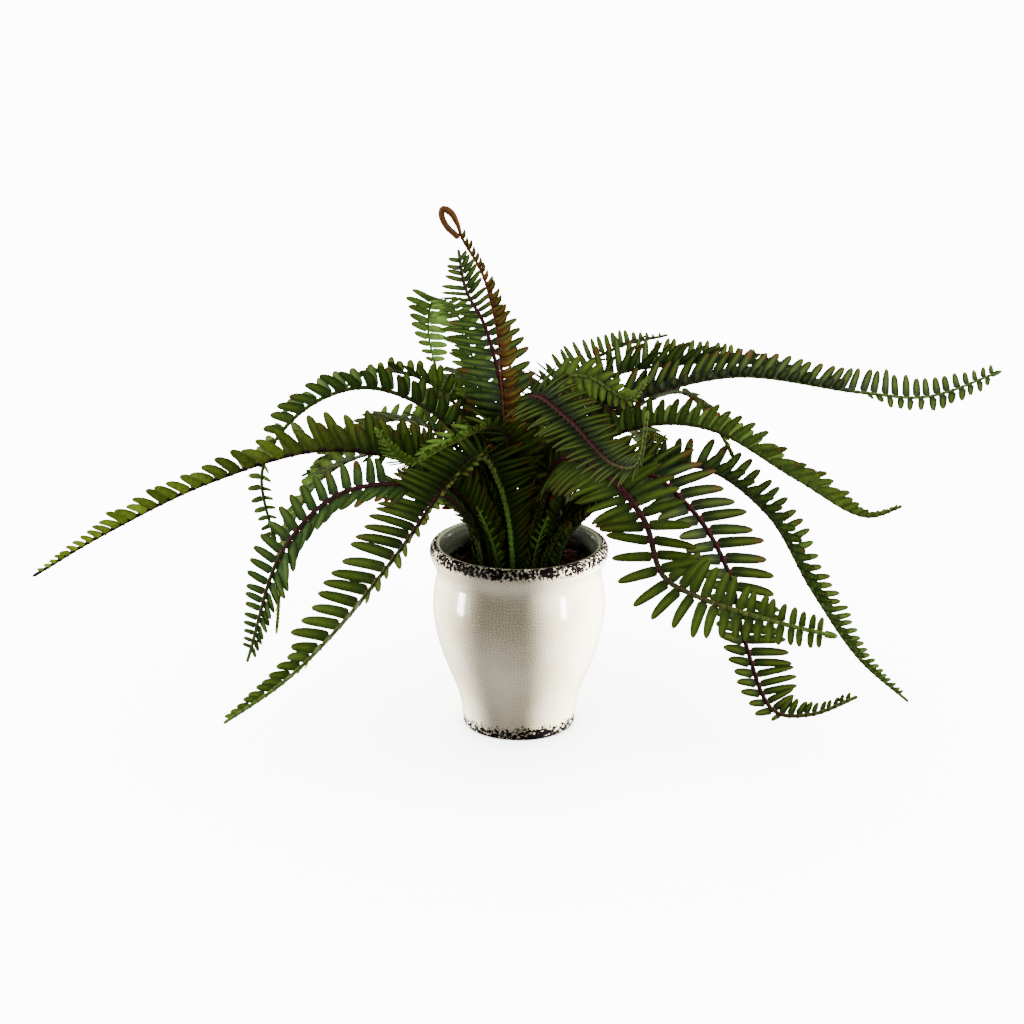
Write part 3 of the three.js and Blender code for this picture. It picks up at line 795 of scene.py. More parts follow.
FRONDS = (
    FrondPlan(
        "front_left", 222, -4, 5, 36,
        ((9, 150), (19, 183), (34, 203), (60, 191), (102, 150), (150, 104), (190, 73), (234, 50)),
        Tone.FRONT_LEFT, light=0.68, ripening=2.2, widest=8.0, breadth=0.42, ripe_rib=0.62,
        slender=1.25, crown=160, green_stalk=0.4, bare_tip=9,
        pitch=((0, 10.5), (0.75, 10), (0.85, 7.5), (1, 5)),
        right=Row(((0, 32), (0.5, 33), (0.6, 31), (0.68, 29), (0.75, 25), (0.79, 17), (0.87, 13.5),
                   (0.95, 8), (1, 5)),
                  ((0, 4), (0.45, 8), (0.6, 22), (0.7, 24), (0.8, 38), (1, 56)), level(42)),
        left=Row(((0, 32), (0.6, 28), (0.75, 22), (0.85, 13), (0.95, 7), (1, 4)),
                 ((0, -8), (1, 20)), level(42)),
    ),
    FrondPlan(
        "front_right", -47, 5, 16, 38,
        ((20, 160), (42, 204), (75, 203), (111, 176), (127, 139), (155, 129), (217, 121),
         (252, 118)),
        Tone.OLIVE_BRIGHT, light=0.6, ripening=2.0, roll=((0, 25), (1, 80)), widest=7.6,
        slender=1.6, ripe_rib=0.68, crown=150, pitch=((0, 10.5), (0.65, 10), (0.8, 8), (0.95, 6.5)),
        last_leaf=(9, 2.6),
        right=Row(((0, 32), (0.61, 29), (0.68, 25), (0.73, 25), (0.79, 18.5), (0.85, 15), (0.9, 12),
                   (1, 8)),
                  ((0, -10), (0.45, -28), (0.55, -21), (0.64, -14), (0.68, -24), (0.73, 2), (1, 2)),
                  level(12)),
        left=Row(((0, 32), (0.51, 31), (0.66, 27), (0.77, 21), (0.82, 16), (0.88, 13), (1, 8)),
                 ((0, -5), (0.5, 14), (0.66, 10), (0.77, -5), (1, -4)), level(12)),
    ),
    FrondPlan(
        "right_low", -31, 4, 18, 36,
        ((22, 128), (40, 160), (90, 199), (129, 177), (156, 135), (169, 85), (190, 38), (215, 38),
         (246, 54)),
        Tone.DEEP_MAROON, roll=((0, 20), (0.6, 35), (1, 60)), widest=7.8, slender=1.35, crown=120,
        light=0.29, ripe_rib=0.78, pitch=((0, 10.5), (0.6, 10.5), (0.75, 7.7), (0.86, 6), (1, 4.4)),
        last_leaf=(12, 1.6),
        left=Row(((0, 34), (0.57, 33), (0.72, 29), (0.79, 26), (0.83, 17), (0.87, 12), (0.92, 7),
                  (1, 4.5)),
                 ((0, 15), (0.45, 28), (0.72, 20), (0.79, 8), (0.83, 4), (0.88, 26), (1, 46)),
                 level(15)),
        right=Row(((0, 30), (0.45, 26), (0.6, 22), (0.71, 21), (0.77, 16), (0.84, 12), (0.87, 0)),
                  ((0, 0), (0.45, -22), (0.71, -36), (1, -38)), level(15)),
    ),
    FrondPlan(
        "right_hanging", -17, 3, 25, 29,
        ((34, 140), (86, 188), (128, 198), (173, 167), (205, 113), (239, 63), (274, 31)),
        Tone.DEEP, widest=6.6, bare_tip=8, breadth=0.42, light=1.45, stagger=0.5,
        pitch=((0, 9), (0.6, 8), (0.8, 6), (1, 4.2)), slender=1.1,
        left=Row(((0, 24), (0.45, 20), (0.6, 18), (0.7, 17.5), (0.77, 16), (0.84, 12), (0.9, 8),
                  (0.95, 5), (1, 3)),
                 ((0, 14), (0.6, 2), (0.7, 25), (1, 32)), level(66)),
        right=Row(((0, 20), (0.4, 16), (0.6, 13), (0.8, 8.5), (0.9, 5), (1, 3)), ((0, 20), (1, 30)),
                  level(84)),
    ),
    FrondPlan(
        "left_long", 190, -3, 18, 33,
        ((27, 150), (60, 188), (130, 206), (210, 184), (291, 141), (341, 108)),
        Tone.SUNLIT, widest=8.4, breadth=0.38, bare_tip=9, slender=1.25, light=1.75, stagger=0.5,
        ripening=2.8, pitch=((0, 12), (0.5, 11.5), (0.65, 9), (0.85, 7), (1, 5)), crown=90,
        left=LEFT_LONG_NEAR,
        right=Row(((0, 30), (0.42, 28), (0.5, 16), (0.56, 10), (0.8, 8), (0.92, 5), (1, 3)),
                  ((0, 26), (0.5, 18), (0.65, 14), (1, 26)), ((0, 82), (0.45, 76), (0.56, 52))),
    ),
    FrondPlan(
        "right_long", 4, 2, 13, 26,
        ((20, 170), (45, 217), (84, 236), (150, 249), (241, 232), (292, 225), (348, 239)),
        Tone.DEEP, roll=((0, 5), (0.7, 8), (0.84, 52)), widest=6.6, breadth=0.45, light=0.43,
        stagger=0.5, pitch=((0, 8.4), (0.7, 8.4), (0.85, 8.1), (1, 6.2)), last_leaf=(8.6, 1.9),
        left=Row(((0, 27), (0.5, 26), (0.6, 24), (0.68, 22), (0.8, 19), (0.85, 13.5), (0.9, 12),
                  (0.94, 8.5), (1, 5.5)),
                 ((0, 38), (0.55, 34), (0.7, 28), (0.8, 0), (0.9, 8), (1, 20)),
                 ((0, 50), (0.7, 46), (0.82, 14))),
        right=Row(((0, 15), (0.73, 14), (0.8, 11), (0.84, 9.5), (0.89, 11.5), (0.94, 9), (1, 6)),
                  ((0, 0), (0.7, -6), (0.84, -22), (0.93, -32)), ((0, 60), (0.7, 60), (0.82, 15))),
    ),
    FrondPlan(
        "right", -5, -3, 21, 30,
        ((28, 160), (50, 203), (90, 223), (134, 222), (192, 192), (240, 170), (265, 180)),
        Tone.RUSTY, widest=5.8, light=2.3, stagger=0.5, pitch=((0, 7.5), (0.82, 7.4), (1, 4)),
        last_leaf=(6, 1.3),
        left=RIGHT_NEAR.behind(0.62, 62),
        right=RIGHT_NEAR,
    ),
    FrondPlan(
        "left_arched", 165, 5, 20, 31,
        ((28, 165), (50, 216), (105, 241), (150, 225), (180, 182), (173, 125)),
        Tone.DEEP, widest=7.8, light=1.75, breadth=0.36, roll=((0, 0), (0.74, 0), (0.87, -78)),
        pitch=((0, 11), (0.72, 10.5), (0.85, 8), (1, 5.5)), slender=1.15,
        left=LEFT_ARCHED_NEAR,
        right=Row(((0, 21), (0.66, 18), (0.72, 14), (0.8, 12), (0.87, 11), (0.95, 8), (1, 6)),
                  ((0, 17), (0.6, 12), (0.66, 22), (0.75, 6), (1, 10)),
                  ((0, 50), (0.72, 46), (0.85, 8))),
    ),
    FrondPlan(
        "left_low", 204, 3, 26, 29,
        ((36, 150), (65, 181), (135, 191), (181, 159), (211, 86)),
        Tone.BLUE_GREEN, roll=((0, -20), (0.5, -42), (1, -50)), widest=7.0, light=1.25,
        ripe_rib=0.7, slender=1.2, bare_tip=8, pitch=((0, 9.5), (0.65, 9), (0.8, 7), (0.95, 4.6)),
        right=Row(((0, 24), (0.55, 18), (0.65, 20), (0.74, 18), (0.8, 16), (0.86, 11.5),
                   (0.93, 7.5), (1, 4)),
                  ((0, 10), (0.5, -15), (0.65, -26), (0.76, -12), (1, -5)), level(12)),
        left=Row(((0, 26), (0.55, 22), (0.74, 22), (0.8, 17), (0.9, 10), (1, 5)),
                 ((0, 20), (0.5, 55), (0.66, 58), (0.75, 44), (1, 54)), level(12)),
    ),
    FrondPlan(
        "left_drooping", 177, 2, 27, 26,
        ((42, 165), (85, 199), (130, 186), (160, 143), (171, 66)),
        Tone.OLIVE_BRIGHT, widest=7.0,
    ),
    FrondPlan(
        "crown_right", -58, 4, -10, 34,
        ((-8, 160), (-1, 215), (17, 244), (61, 237), (105, 218), (128, 223), (137, 262)),
        Tone.CROWN, roll=((0, 15), (1, 60)), widest=5.2, pitch=((0, 5.6), (1, 4.2)), slender=1.15,
        crown=80, light=0.125, ripe_rib=0.72, last_leaf=(7, 1.2),
        right=Row(((0, 26), (0.6, 24), (0.71, 21), (0.82, 16), (0.9, 9), (1, 4.5)),
                  ((0, -10), (0.5, -22), (0.8, -32), (1, -10)), level(12)),
        left=Row(((0, 26), (0.6, 24), (0.75, 19), (0.85, 12), (1, 4.5)),
                 ((0, 10), (0.6, 24), (1, 30)), level(12)),
    ),
    FrondPlan(
        "crown_left", 212, 0, -12, 32,
        ((-8, 150), (2, 203), (20, 221), (55, 215), (90, 207), (114, 236)),
        Tone.CROWN, fold=level(12), roll=((0, 15), (1, 40)), lean=((0, 10), (1, 34)), widest=4.4,
        crown=400, pitch=((0, 4.6), (1, 4)), light=1.35, green_stalk=0.5,
    ),
    FrondPlan(
        "upright", 118, 0, 17, 34,
        ((18, 180), (24, 232), (50, 277), (80, 298), (91, 324)),
        Tone.BLUE_GREEN, widest=7.0, slender=1.15, ripe_rib=0.8, light=0.57,
        pitch=((0, 8), (0.6, 8), (0.8, 6), (1, 4.2)), last_leaf=(6, 1.4),
        left=Row(((0, 28), (0.6, 30), (0.73, 27), (0.83, 22), (0.9, 14.5), (0.97, 8), (1, 5)),
                 ((0, 15), (0.7, 8), (0.85, 6), (0.92, 14), (1, 4)), level(12)),
        right=Row(((0, 26), (0.6, 27), (0.7, 24), (0.82, 21), (0.9, 17), (0.95, 11), (1, 5)),
                  ((0, 8), (0.7, 12), (0.83, 24), (0.88, 38), (1, 42)), level(12)),
    ),
    FrondPlan(
        "back_left_arching", 122, 6, 24, 21,
        ((30, 160), (45, 225), (75, 284), (98, 288), (104, 265), (96, 237)),
        Tone.PALE, widest=5.4, slender=0.8, light=1.3, spacing=1.05, last_leaf=(7, 1.4),
        left=Row(((0, 20), (0.7, 24), (0.81, 22), (0.86, 15), (0.91, 10), (0.96, 6.5), (1, 5)),
                 ((0, 10), (0.6, 10), (0.74, -25), (1, -34)), ((0, 15), (1, 30))),
        right=Row(((0, 20), (0.7, 20), (0.87, 18), (0.91, 13.5), (0.96, 11), (1, 6)),
                  ((0, 20), (1, 10)), level(5)),
    ),
    FrondPlan(
        "back_left", 150, 4, 13, 32,
        ((22, 165), (39, 215), (74, 242), (115, 243), (140, 226)),
        Tone.OLIVE, widest=6.2, pitch=level(7.2),
    ),
    FrondPlan(
        "left_small", 152, 12, 20, 30,
        ((26, 140), (54, 182), (110, 195), (155, 174)),
        Tone.DEEP, fold=level(46),
    ),
    FrondPlan(
        "right_upper", 14, 3, 22, 33,
        ((28, 170), (55, 243), (118, 253), (175, 247), (223, 233)),
        Tone.DEEP, fold=level(52), widest=5.4, pitch=level(6.4),
    ),
    FrondPlan(
        "back_right", 45, -5, 17, 33,
        ((24, 170), (50, 243), (90, 258), (135, 261)),
        Tone.DEEP, fold=level(40), widest=4.6, pitch=level(5.6),
    ),
    FrondPlan(
        "right_small", -25, 0, 8, 26,
        ((12, 190), (28, 253), (50, 260), (82, 248), (96, 266)),
        Tone.OLIVE, fold=level(10), roll=((0, 20), (1, 50)),
    ),
    FrondPlan(
        "right_tucked", 26, -4, 27, 26,
        ((34, 150), (60, 203), (121, 230), (151, 198), (163, 175)),
        Tone.RUSTY,
    ),
    FrondPlan(
        "rear_right", 62, 4, 11, 33,
        ((18, 170), (45, 222), (95, 226), (150, 192), (195, 142)),
        Tone.DEEP,
    ),
    FrondPlan(
        "rear_low", 84, -4, 24, 32,
        ((31, 150), (60, 198), (115, 203), (165, 168), (205, 112)),
        Tone.OLIVE,
    ),
    FrondPlan(
        "rear", 102, 5, 15, 33,
        ((21, 170), (48, 218), (105, 224), (165, 194), (218, 150)),
        Tone.DEEP_MAROON,
    ),
    FrondPlan(
        "rear_left", 138, 4, 26, 31,
        ((33, 150), (60, 194), (110, 203), (160, 172), (200, 118)),
        Tone.OLIVE_BRIGHT,
    ),
    FrondPlan(
        "rear_small", 46, 5, 28, 29,
        ((37, 145), (68, 184), (125, 190), (168, 152), (192, 100)),
        Tone.BLUE_GREEN,
    ),
    shoot("shoot_front", 236, 25, ((27, 128), (36, 150), (52, 175))),
    shoot("shoot_right", -66, 22, ((24, 126), (33, 146), (48, 168))),
)

YOUNG_FROND = FrondPlan(
    "young_frond", 172, 0, -4, 17,
    ((6, 180), (11, 242), (15, 286), (25, 325), (39, 350), (42.4, 360), (47, 367.5), (52, 369.5),
     (53, 365), (49.5, 357.5), (43.4, 351.8), (41.2, 349.6)),
    Tone.COPPERY, widest=5.2, slender=0.9, bare_stalk=96, bare_tip=48, slot="young_leaf",
    pitch=((0, 7.4), (0.6, 7.2), (0.7, 4.6), (1, 4.2)), hook=0.4, curl=1.5, breadth=0.3, light=0.68,
    left=Row(((0, 18), (0.45, 18), (0.56, 16), (0.62, 14), (0.68, 11), (0.74, 8), (1, 5)),
             ((0, -4), (0.58, 4), (0.7, 18), (1, 10)), level(66)),
    right=Row(((0, 9), (0.5, 9), (0.65, 7), (0.69, 0)), ((0, -4), (0.58, 4), (1, 18)), level(58)),
)


# ---------------------------------------------------------------- ribs


@dataclass(frozen=True)
class Station:
    """A place on a rib with its own directions, and its share of the way from the mix to the tip."""

    place: Array
    tangent: Array
    side: Array
    up: Array
    share: float


def unit(vector: Array) -> Array:
    """Returns a vector at length 1."""
    return vector / np.linalg.norm(vector)


def smooth_line(points: Sequence[Array], steps: int = 24) -> Array:
    """Draws a centripetal Catmull-Rom line through points.

    Args:
        points: The points that it passes through.
        steps: How many places there are between two of them.

    Returns:
        The places along the line, one row each.
    """
    ends = [2 * points[0] - points[1], *points, 2 * points[-1] - points[-2]]
    line = []
    for before, start, end, after in zip(ends, ends[1:], ends[2:], ends[3:]):
        first, middle, last = (np.linalg.norm(b - a) ** 0.5 for a, b in
                               ((before, start), (start, end), (end, after)))
        leaving = (start - before) / first - (end - before) / (first + middle) + (end - start) / middle
        arriving = (end - start) / middle - (after - start) / (middle + last) + (after - end) / last
        for step in range(steps):
            t = step / steps
            line.append(
                (2 * t**3 - 3 * t**2 + 1) * start + (t**3 - 2 * t**2 + t) * leaving * middle
                + (3 * t**2 - 2 * t**3) * end + (t**3 - t**2) * arriving * middle
            )
    return np.array([*line, points[-1]])


class RibLine:
    """The line of one rib from the mix to its tip, measured along its length in millimetres."""

    NUDGE = 0.4

    def __init__(self, plan: FrondPlan) -> None:
        """Draws the line.

        Args:
            plan: The frond that it belongs to.
        """
        self.plan = plan
        start = plan.place(plan.root, soil_height(abs(plan.root)) + GAP)
        self.line = smooth_line([start, *(plan.place(reach, height) for reach, height in plan.route)])
        strides = np.linalg.norm(np.diff(self.line, axis=0), axis=1)
        self.marks = np.concatenate([[0.0], np.cumsum(strides)])
        self.length = float(self.marks[-1])
        self.outward = math.copysign(1, plan.route[-1][0])

    def point(self, distance: float) -> Array:
        """Returns the place at a distance along the line."""
        return np.array([np.interp(distance, self.marks, self.line[:, axis]) for axis in range(3)])

    def station(self, distance: float) -> Station:
        """Finds the place and the directions at a distance along the line.

        Args:
            distance: How far from the mix it is.

        Returns:
            The station there.
        """
        near = max(0.0, min(distance, self.length - self.NUDGE))
        tangent = unit(self.point(near + self.NUDGE) - self.point(max(0.0, near - self.NUDGE)))
        place = self.point(distance)
        reach = math.hypot(place[0], place[1]) * self.outward
        angle = math.radians(self.plan.heading + self.plan.turn * reach / 100)
        side = np.array([math.sin(angle), -math.cos(angle), 0.0])
        side = unit(side - tangent * side.dot(tangent))
        share = distance / self.length
        roll = math.radians(self.plan.on_course(self.plan.roll, share))
        side = side * math.cos(roll) + np.cross(tangent, side) * math.sin(roll)
        return Station(place, tangent, side, np.cross(side, tangent), share)


# ---------------------------------------------------------------- leaflets


@dataclass
class LeafletPattern:
    """The leaflet that every other one is a copy of, 1 long and 1 in half width, thin at its margin."""

    knots: tuple[float, ...] = (0.0, 0.015, 0.035, 0.1, 0.3, 0.58, 0.8, 0.93, 1.0)
    half_widths: tuple[float, ...] = (0.5, 0.46, 0.84, 1.0, 1.0, 0.93, 0.76, 0.52, 0.2)
    rows: int = 4
    upper: float = 0.42
    groove: float = 0.12
    keel: float = -0.42
    under: float = -0.04
    knob: float = 0.85
    places: Array = field(init=False)
    faces: list[tuple[int, ...]] = field(init=False)

    def __post_init__(self) -> None:
        """Models the pattern and keeps its places and faces."""
        deselect_all()
        bpy.ops.mesh.primitive_grid_add(
            x_subdivisions=len(self.knots) - 1, y_subdivisions=self.rows, size=2, location=(0, 0, 0)
        )
        piece = bpy.context.object
        self.shape_outline(piece)
        self.add_underside(piece)
        self.places = coordinates(piece.data)
        self.faces = [tuple(face.vertices) for face in piece.data.polygons]
        bpy.data.objects.remove(piece)

    def shape_outline(self, piece: bpy.types.Object) -> None:
        """Sets the grid's cross rows at their knots and widths.

        Args:
            piece: The grid, 2 by 2 about its middle.
        """
        count = len(self.knots) - 1
        for index, (knot, half) in enumerate(zip(self.knots, self.half_widths)):
            there = -1 + 2 * index / count
            bpy.ops.object.mode_set(mode="EDIT")
            bpy.ops.mesh.select_mode(type="VERT")
            bpy.ops.mesh.select_all(action="DESELECT")
            bpy.ops.object.mode_set(mode="OBJECT")
            for vertex in piece.data.vertices:
                vertex.select = abs(vertex.co.x - there) < 1e-4 and vertex.co.z == 0
            bpy.ops.object.mode_set(mode="EDIT")
            bpy.ops.transform.resize(value=(1, half, 1), center_override=(there, 0, 0))
            bpy.ops.transform.translate(value=(knot - there, 0, 9))
            bpy.ops.object.mode_set(mode="OBJECT")
        places = coordinates(piece.data)
        places[:, 2] = 0
        set_coordinates(piece.data, places)

    def add_underside(self, piece: bpy.types.Object) -> None:
        """Doubles the grid into a thin closed blade with a groove above and a keel below.

        Args:
            piece: The grid with its outline.
        """
        take(piece)
        count = len(piece.data.vertices)
        edit_all()
        bpy.ops.mesh.duplicate()
        bpy.ops.mesh.flip_normals()
        bpy.ops.object.mode_set(mode="OBJECT")
        places = coordinates(piece.data)
        widths = np.interp(places[:, 0], self.knots, self.half_widths)
        share = np.abs(places[:, 1]) / widths
        body = np.clip(widths / 0.6, 0.35, 1.0)
        inner = share < 0.99
        above = np.where(share < 0.25, self.groove, self.upper) * body
        below = np.where(share < 0.25, self.keel, self.under) * body
        top = np.arange(len(places)) < count
        places[:, 2] = np.where(inner, np.where(top, above, below), 0.0)
        ends = (places[:, 0] < 1e-6) | (places[:, 0] > 1 - 1e-6)
        places[ends, 2] *= 0.4
        stub = inner & (places[:, 0] < 0.02)
        places[stub, 2] = np.where(top[stub], self.knob, -self.knob)
        set_coordinates(piece.data, places)
        edit_all()
        bpy.ops.mesh.remove_doubles(threshold=1e-5)
        bpy.ops.mesh.select_all(action="DESELECT")
        bpy.ops.mesh.select_non_manifold()
        bpy.ops.mesh.edge_face_add()
        face_outward()


@dataclass(frozen=True)
class LeafletPose:
    """Where a leaflet's stalk meets the rib, its directions, its size and how it bends."""

    root: Array
    reach: Array
    along: Array
    face: Array
    length: float
    half_width: float
    bend: float
    twist: float
    cant: float
    sickle: float

    def bent(self, points: Array) -> Array:
        """Takes points of the pattern to their places on this leaflet.

        Args:
            points: Share of the length, share of the half width and height in millimetres, one row each.

        Returns:
            The places in millimetres, one row each.
        """
        share = points[:, 0]
        across = points[:, 1] * self.half_width
        height = points[:, 2]
        roll = self.cant + self.twist * share
        sideways = across * np.cos(roll) - height * np.sin(roll)
        upward = across * np.sin(roll) + height * np.cos(roll)
        sideways = sideways + self.sickle * self.length * share**2
        angle = self.bend * share
        forward = self.length * np.sin(angle) / self.bend + upward * np.sin(angle)
        rise = -self.length * (1 - np.cos(angle)) / self.bend + upward * np.cos(angle)
        return (
            self.root
            + forward[:, None] * self.reach
            + sideways[:, None] * self.along
            + rise[:, None] * self.face
        )


class Room:
    """The room that ribs and leaflets already take up, in small cells."""

    CELL = 1.2
    ANYONE = "*"

    def __init__(self) -> None:
        """Starts with all the room free."""
        self.cells: dict[tuple[int, int, int], str] = {}

    def cell_rows(self, points: Array) -> list[tuple[int, int, int]]:
        """Returns the cells that points lie in."""
        return [tuple(row) for row in np.floor(points / self.CELL).astype(int).tolist()]

    def fill(self, points: Array, owner: str) -> None:
        """Gives a frond the cells at and beside its points.

        Args:
            points: The points, one row each.
            owner: The frond's name.
        """
        for x, y, z in self.cell_rows(points):
            for cell in ((x, y, z), (x + 1, y, z), (x - 1, y, z), (x, y + 1, z), (x, y - 1, z),
                         (x, y, z + 1), (x, y, z - 1)):
                known = self.cells.setdefault(cell, owner)
                if known != owner:
                    self.cells[cell] = self.ANYONE

    def clashes(self, points: Array, owner: str) -> int:
        """Counts the points that lie in another frond's cells."""
        return sum(1 for cell in self.cell_rows(points) if self.cells.get(cell, owner) != owner)

    def fill_pot(self, pot: "Pot") -> None:
        """Takes up the room of the pot's lip and upper wall.

        Args:
            pot: The pot.
        """
        rings = [ring for ring in pot.outside() + list(pot.lip) if ring[1] > SOIL_TOP - 6]
        angles = np.linspace(0, math.tau, 300)
        for (radius, height), (next_radius, next_height) in zip(rings, rings[1:]):
            for step in range(4):
                out = radius + (next_radius - radius) * step / 4
                up = height + (next_height - height) * step / 4
                circle = [(out * math.cos(a), out * math.sin(a), up) for a in angles]
                self.fill(np.array(circle), "flowerpot")


@dataclass
class Habit:
    """How the leaflets of this fern grow, in millimetres, degrees and shares."""

    upright_lean: float = 42.0
    upright_length: float = 95.0
    shortest: float = 3.6
    bare_below: float = 2.0
    closest: float = 2.8
    droop: float = 16.0
    cant: float = 11.0
    crowded: float = 4.5
    crown_width: float = 4.9
    crown_edge: float = 34.0
    touching: float = 0.84
    crown_overlap: float = 0.6
    narrowest: float = 1.0
    first_length: float = 0.5
    lengthening: float = 160.0
    taper: float = 0.8
    rising: float = 1.6
    least_bend: float = 4.0
    # How far chance moves each measure of a leaflet either way.
    length_spread: float = 0.06
    fold_spread: float = 6.0
    lean_spread: float = 4.0
    bend_spread: float = 9.0
    twist_spread: float = 7.0
    cant_spread: float = 5.0
    sickle_spread: float = 0.05
    # Degrees that a leaflet is bent up and its share of full length, in the order tried.
    ways_clear: tuple[Pair, ...] = (
        (0, 1), (10, 1), (-10, 1), (22, 0.95), (-22, 0.95), (34, 0.9), (-34, 0.9), (0, 0.75), (20, 0.7),
        (-20, 0.7), (0, 0.5), (26, 0.5), (-26, 0.5), (0, 0.32),
    )

    def grown(self, plan: FrondPlan, distance: float) -> float:
        """Returns 0 in the crown, where leaflets are narrow and crowded, and 1 well beyond it."""
        return min(1.0, max(0.0, (distance - plan.crown) / self.crown_edge))

    def length(self, plan: FrondPlan, distance: Pair, share: float, hand: int = 1) -> float:
        """Works out how long a frond's leaflets are.

        Args:
            plan: The frond that they grow on.
            distance: How far from the mix they stand, and that as a share of the rib's length.
            share: Their share of the leafy length.
            hand: 1 on the right of the rib and -1 on the left.

        Returns:
            The length in millimetres.
        """
        short = min(1.0, self.first_length + distance[0] / self.lengthening)
        row = plan.row(hand)
        if row:
            return plan.on_course(row.length, distance[1]) * short
        taper = (1 - min(1.0, share) ** plan.fullness) ** self.taper
        return max(self.shortest, plan.leaf * short * taper)

    def half_width(self, plan: FrondPlan, distance: Pair, length: float) -> float:
        """Works out how wide a leaflet is.

        Args:
            plan: The frond that it grows on.
            distance: How far from the mix it stands, and that as a share of the rib's length.
            length: Its length.

        Returns:
            Half its width in millimetres.
        """
        grown = self.grown(plan, distance[0])
        crown = min(self.crown_width, plan.widest)
        widest = crown + (plan.widest - crown) * grown
        if plan.pitch:
            share = self.touching + (1 - grown) * self.crown_overlap
            widest = min(widest, plan.on_course(plan.pitch, distance[1]) * share)
        return min(widest, self.narrowest + plan.breadth * length) / 2

    def step(self, plan: FrondPlan, distance: Pair, share: float) -> float:
        """Works out how far it is from one pair of leaflets to the next.

        Args:
            plan: The frond that they grow on.
            distance: How far from the mix the first stands, and that as a share of the rib's length.
            share: Its share of the leafy length.

        Returns:
            The distance in millimetres.
        """
        width = 2 * self.half_width(plan, distance, self.length(plan, distance, share))
        full = max(self.closest, plan.spacing * width)
        if plan.pitch:
            full = plan.on_course(plan.pitch, distance[1])
        grown = self.grown(plan, distance[0])
        return min(full, self.crowded) * (1 - grown) + full * grown

    def lean(self, plan: FrondPlan, distance: float, share: float, hand: int) -> float:
        """Works out how far a leaflet leans towards the frond's tip.

        Args:
            plan: The frond that it grows on.
            distance: How far from the mix it stands.
            share: Its share of the rib's length.
            hand: 1 on the right of the rib and -1 on the left.

        Returns:
            The lean in degrees.
        """
        row = plan.row(hand)
        usual = plan.on_course(row.lean if row else plan.lean, share)
        rising = max(0.0, 1 - distance / self.upright_length)
        return usual + (self.upright_lean - usual) * min(1.0, rising * self.rising)


